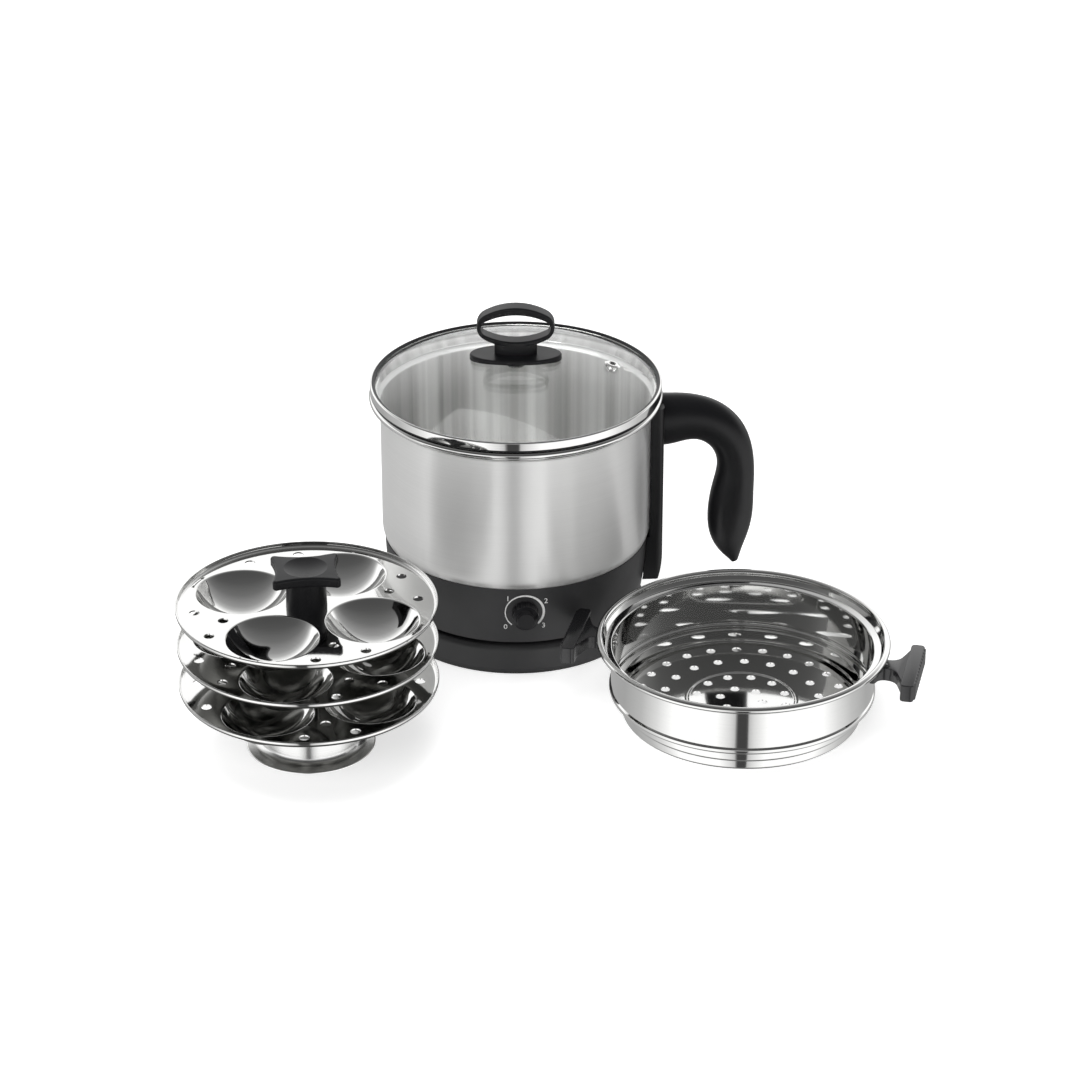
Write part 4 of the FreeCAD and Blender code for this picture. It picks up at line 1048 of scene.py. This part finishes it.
@dataclass
class Rack:
    """Three pressed idli plates on a flared foot; each tier has a name, a level and a turn."""

    bench: Bench
    spot: Point = (-117.1, -133.5)
    sheet: float = 0.8
    foot_flange: float = 34.0
    foot_waist: float = 25.9
    foot_neck: float = 25.0
    foot_height: float = 18.0
    foot_bore: float = 3.1
    plate_radius: float = 68.0
    plate_bore: float = 3.5
    lip: float = 3.8
    cup_count: int = 4
    cup_circle: float = 38.0
    cup_ball: float = 27.57
    cup_level: float = 14.37
    cup_edge: float = 1.2
    hole: float = 2.75
    hole_rings: tuple[Ring, ...] = ((1.184, 45.0, 4), (1.526, 31.7, 4), (1.526, 58.3, 4))
    tiers: tuple[tuple[str, float, float], ...] = (
        ("lower", 35.0, -35.0),
        ("middle", 57.5, -18.0),
        ("upper", 80.0, -28.0),
    )

    def build(self) -> None:
        """Make the foot and the plates."""
        self.make_foot()
        plate = self.make_plate()
        for tier, level, turn in self.tiers:
            piece = self.bench.twin(plate, f"{tier}_idli_plate")
            self.bench.stand(piece, (*self.spot, level), turn)
            self.bench.hand_in(piece, "polished", f"{tier}_tier", [f"{tier}_plate"])
            # painted shade: the faces that face down get a dark, rougher steel finish that stands in for
            # the shade under the plate
            self.bench.finishes.dress_some(piece, "shaded_underside", lambda face: face.normal.z < -0.1)
        bpy.data.objects.remove(plate)

    def make_foot(self) -> None:
        """Spin the flared foot that carries the rod."""
        outline = rounded([
            (self.foot_flange, 0.05),
            (self.foot_flange, self.sheet, 0.6),
            (self.foot_waist, self.sheet, 4.2),
            (self.foot_neck, self.foot_height, 4.0),
            (self.foot_bore, self.foot_height),
        ], step=8)
        foot = self.bench.lathe("rack_foot_shell", outline)
        self.bench.thicken(foot, self.sheet)
        self.bench.stand(foot, (*self.spot, 0))
        self.bench.hand_in(foot, "spun", "rack", ["rack_foot"])

    def cup_outline(self) -> list[Point]:
        """Draw one cup from the plate's flat over its rounded edge to its deepest point.

        Returns:
            The points, as radii about the cup's own axis and heights.
        """
        reach = self.cup_ball + self.cup_edge
        drop = self.cup_level - (self.sheet - self.cup_edge)
        edge = (math.sqrt(reach ** 2 - drop ** 2), self.sheet - self.cup_edge)
        lean = math.degrees(math.asin(drop / reach))
        outline = [(edge[0] + 1.5, self.sheet), (edge[0] + 0.5, self.sheet)]
        outline += arc(edge, self.cup_edge, 90, 180 - lean, 10)
        outline += arc((0.0, self.cup_level), self.cup_ball, -lean, -90, 5)[1:]
        return outline

    def make_plate(self) -> Piece:
        """Press one plate at the origin.

        Returns:
            The plate, to be copied to its three places.
        """
        bench = self.bench
        inner = self.plate_radius - self.sheet
        rim = rounded([
            (self.plate_radius - 0.1, self.lip - 0.5),
            (inner + 0.5, self.lip, 0.35),
            (inner, self.lip - 0.5, 0.35),
            (inner, self.sheet, 1.6),
            (inner - 3.6, self.sheet),
        ], step=10)
        plate = bench.lathe("idli_plate", rim, steps=160)
        bench.trace("cup", [(self.cup_circle + radius, 0, z) for radius, z in self.cup_outline()])
        bench.spin(72, (self.cup_circle, 0.0))
        bench.ring_of(self.cup_count)
        rings = [(share * self.cup_circle, angle, count) for share, angle, count in self.hole_rings]
        bench.drill_rings(self.sheet, self.hole, rings)
        bench.drill_rings(self.sheet, self.plate_bore, [(0.0, 0.0, 1)])
        bench.fill_level(plate, self.sheet)
        bench.thicken(plate, self.sheet)
        return plate


@dataclass
class Basket:
    """Perforated basket with a rolled rim and two T handles."""

    bench: Bench
    spot: Point = (113.0, -115.8)
    turn: float = -17.0
    sheet: float = 0.8
    floor: float = 6.0
    foot: float = 64.0
    ledge: float = 13.5
    wall: float = 69.2
    bead: float = 70.1
    flare: tuple[Corner, ...] = ((74.8, 41.8, 0.8), (73.0, 39.5, 0.8), (69.2, 38.8, 1.0))
    rim: Point = (76.2, 42.7)
    roll: float = 1.8
    ridge: float = 29.1
    ridge_height: float = 0.6
    hole: float = 2.5
    hole_turn: float = -2.0
    hole_rings: tuple[tuple[float, int], ...] = ((0.856, 24), (0.652, 18), (0.38, 12), (0.18, 6))
    grip_low: float = 28.6
    grip_top: float = 38.1
    grip_reach: float = 95.0
    grip_half: float = 23.0
    grip_depth: float = 8.0
    grip_corner: float = 2.0
    ribs: int = 12
    rib_height: float = 0.8
    rib_margin: float = 2.6
    root: float = 70.1
    root_half: float = 10.0
    neck_half: float = 5.0

    def build(self) -> None:
        """Make the pan and its handles."""
        self.make_pan()
        grip = self.make_grip()
        for side, turn in (("right", self.turn), ("left", self.turn + 180)):
            piece = self.bench.twin(grip, f"{side}_t_handle")
            self.bench.stand(piece, (*self.spot, 0), turn)
            self.bench.hand_in(piece, "glossy", "basket", [f"basket_handle_{side}"])
        bpy.data.objects.remove(grip)

    def make_pan(self) -> None:
        """Spin the wall, add the ridge and the holes, and fill the floor between them."""
        bench = self.bench
        outline = arc(self.rim, self.roll, *ROLLED)
        outline += rounded([
            outline[-1],
            *self.flare,
            (self.wall, self.ledge + 2.9, 0.5),
            (self.bead, self.ledge + 1.9, 0.7),
            (self.bead, self.ledge + 0.7, 0.7),
            (self.wall + 0.1, self.ledge, 0.3),
            (self.foot + 0.2, self.ledge, 0.5),
            (self.foot + 0.2, self.floor + 0.8, 0.6),
            (self.foot - 0.5, self.floor - 0.2, 0.6),
            (self.foot - 0.8, self.sheet, 1.2),
            (self.foot - 2.6, self.sheet, 0.3),
            (self.foot - 3.7, self.floor, 0.5),
            (self.foot - 4.8, self.floor),
        ], step=10)[1:]
        pan = bench.lathe("basket_pan", outline, steps=192)
        crest = self.floor + self.ridge_height
        ridge = rounded([
            (self.ridge + 1.5, self.floor),
            (self.ridge + 1.0, self.floor, 0.4),
            (self.ridge + 0.4, crest, 0.4),
            (self.ridge - 0.4, crest, 0.4),
            (self.ridge - 1.0, self.floor, 0.4),
            (self.ridge - 1.5, self.floor),
        ], step=20)
        bench.trace("ridge", [(radius, 0, height) for radius, height in ridge])
        bench.spin(128)
        rings = [(share * self.foot, self.hole_turn, count) for share, count in self.hole_rings]
        bench.drill_rings(self.floor, self.hole, rings)
        bench.fill_level(pan, self.floor)
        bench.thicken(pan, self.sheet)
        bench.stand(pan, (*self.spot, 0), self.turn)
        bench.hand_in(pan, "polished", "basket", ["steamer_basket"])

    def bar_plan(self, back: float) -> list[Point]:
        """Draw the ribbed bar of a T handle from above.

        Args:
            back: how far out the bar's back is.

        Returns:
            The outline's points.
        """
        half = self.grip_half
        reach = self.grip_reach
        front = reach - self.rib_height
        plan: list[Corner] = [(back, -half, self.grip_corner), (front, -half, self.grip_corner)]
        pitch = 2 * (half - self.rib_margin) / self.ribs
        for rib in range(self.ribs):
            start = -half + self.rib_margin + rib * pitch
            plan += [(front, start), (reach, start + 0.3 * pitch), (reach, start + 0.7 * pitch)]
        plan.append((front, half - self.rib_margin))
        plan += [(front, half, self.grip_corner), (back, half, self.grip_corner)]
        return rounded(plan, closed=True)

    def neck_plan(self, back: float) -> list[Point]:
        """Draw the waisted neck of a T handle from above, with its root round the basket's wall.

        Args:
            back: how far out the bar's back is.

        Returns:
            The outline's points.
        """
        root = self.root
        side: list[Corner] = [
            (math.sqrt(root ** 2 - self.root_half ** 2), self.root_half),
            (root + 2.0, self.root_half, 1.5),
            (root + 4.0, self.neck_half, 4.0),
            (back - 5.0, self.neck_half, 6.5),
            (back + 0.6, self.grip_half - 5.0),
        ]
        other = [(corner[0], -corner[1], *corner[2:]) for corner in side]
        middle = math.sqrt(root ** 2 - self.neck_half ** 2)
        seat = [(middle, self.neck_half), (root, 0.0), (middle, -self.neck_half)]
        return rounded([*other, *reversed(side), *seat], closed=True)

    def make_grip(self) -> Piece:
        """Shape one T handle at the origin: a ribbed bar on a waisted neck.

        Returns:
            The handle, to be copied to its two places.
        """
        bench = self.bench
        back = self.grip_reach - self.grip_depth
        bar = bench.plug("t_handle", self.bar_plan(back), self.grip_low, self.grip_top)
        bench.settle(bar)
        neck = bench.plug("t_neck", self.neck_plan(back), self.grip_low + 1.2, self.grip_top - 0.9)
        bench.shape(bar, "BOOLEAN", {"operation": "UNION", "object": neck, "solver": "EXACT"})
        bpy.data.objects.remove(neck)
        bench.soften(bar, 0.8, 3, 50)
        return bar


@dataclass(frozen=True)
class Lamp:
    """A soft box that lights the set and doesn't show in the metal; places are in metres."""

    place: tuple[float, float, float]
    target: tuple[float, float, float]
    size: float
    watts: float

    def hang(self) -> None:
        """Hang the lamp and aim it."""
        aim = (Vector(self.target) - Vector(self.place)).to_track_quat("-Z", "Y").to_euler()
        bpy.ops.object.light_add(type="AREA", location=self.place, rotation=aim)
        bpy.context.object.visible_glossy = False
        light = bpy.context.object.data
        light.size = self.size
        light.energy = self.watts


@dataclass
class Studio:
    """Camera, soft light, pale floor and the room that shows in the metal.

    Lengths are in metres. The sweep's and the screens' stops are a share of the way over the top or
    round the sides, and a grey.
    """

    eye: tuple[float, float, float] = (-0.1134, -1.8098, 0.9798)
    pitch: float = 27.24
    turn: float = -4.0
    lens: float = 122.36
    sensor: float = 36.0
    clip_start: float = 0.05
    lamps: tuple[Lamp, ...] = (
        Lamp((-0.25, 0.15, 1.9), (0, -0.05, 0), 1.7, 24.0),
        Lamp((-0.75, -1.8, 1.1), (0, 0, 0.08), 1.4, 27.0),
    )
    floor_radius: float = 12.0
    floor_colour: Colour = (0.9, 0.9, 0.9)
    floor_roughness: float = 0.9
    floor_glow: float = 0.54
    white_from: float = 0.5
    white_to: float = 1.6
    sweep: tuple[Point, ...] = (
        (0.0, 1.2), (0.165, 1.2), (0.21, 0.85), (0.26, 0.52), (0.33, 0.35), (0.5, 0.18), (0.67, 0.10),
        (0.88, 0.06), (0.94, 0.3), (0.97, 0.9), (1.0, 1.0),
    )
    screens: tuple[Point, ...] = (
        (0.0, 0.42), (0.133, 0.42), (0.206, 0.55), (0.258, 0.82), (0.306, 1.2), (0.42, 1.2),
        (0.455, 0.8), (0.466, 0.6), (0.47, 0.06), (0.496, 0.06), (0.50, 0.6), (0.511, 0.8),
        (0.546, 1.2), (0.694, 1.2), (0.742, 0.85), (0.794, 0.60), (0.867, 0.44), (1.0, 0.42),
    )
    ground: Colour = (0.16, 0.16, 0.16)
    ground_blend: Point = (-0.93, -0.72)
    horizon_blend: Point = (-0.03, 0.02)
    white: Colour = (1.0, 1.0, 1.0)

    def build(self) -> None:
        """Set everything up."""
        self.set_camera()
        for lamp in self.lamps:
            lamp.hang()
        self.set_floor()
        self.set_room()
        bpy.context.scene.view_settings.view_transform = "Standard"

    def set_camera(self) -> None:
        """Stand the camera where the photograph was taken from."""
        angles = (math.radians(90 - self.pitch), 0, math.radians(self.turn))
        bpy.ops.object.camera_add(location=self.eye, rotation=angles)
        camera = bpy.context.object
        camera.data.lens = self.lens
        camera.data.sensor_width = self.sensor
        camera.data.clip_start = self.clip_start
        bpy.context.scene.camera = camera

    def set_floor(self) -> None:
        """Lay a pale floor that turns white away from the set, to the camera and through the glass."""
        bpy.ops.mesh.primitive_circle_add(vertices=96, radius=self.floor_radius, fill_type="NGON")
        floor = bpy.context.object
        floor.name = "floor"
        floor.visible_glossy = False
        paint = Paint.named("floor_paper")
        length = {"operation": "LENGTH"}
        away = paint.node("ShaderNodeVectorMath", length, {0: paint.place()}, output="Value")
        whiteness = paint.band(away, self.white_from, self.white_to, self.floor_glow, 1.0)
        lift = paint.in_view() * whiteness
        glow = paint.node("ShaderNodeCombineColor", {}, {0: lift, 1: lift, 2: lift})
        floor.data.materials.append(paint.surface({
            "Base Color": self.floor_colour,
            "Roughness": self.floor_roughness,
            "Specular IOR Level": 0.0,
            "Emission Color": glow,
            "Emission Strength": 1.0,
        }))

    def set_room(self) -> None:
        """Put a white sweep behind, a dim ceiling above and pale screens round a dark gap in front."""
        world = bpy.data.worlds.new("room")
        bpy.context.scene.world = world
        paint = Paint(world)
        across, ahead, above = paint.split(paint.node("ShaderNodeTexCoord", output="Generated"))
        sweep = paint.ramp(above.angle_from(ahead) * (1 / math.pi), self.sweep)
        screens = paint.ramp(across.angle_from(0 - ahead) * (0.5 / math.pi) + 0.5, self.screens)
        below = paint.tint(paint.band(above, *self.ground_blend), self.ground, screens)
        room = paint.tint(paint.band(above, *self.horizon_blend), below, sweep)
        backdrop = paint.existing("BACKGROUND")
        paint.feed(backdrop.inputs["Color"], paint.tint(paint.in_view(), room, self.white))
        paint.feed(backdrop.inputs["Strength"], 1.0)


def main() -> None:
    """Build the set and report its pieces."""
    logging.basicConfig(level=logging.INFO, format="%(message)s")
    finishes = Finishes()
    finishes.dress_solids()
    bench = Bench(finishes)
    for assembly in (Kettle(bench), Lid(bench), Rack(bench), Basket(bench)):
        assembly.build()
    Studio().build()


if __name__ == "__main__":
    main()
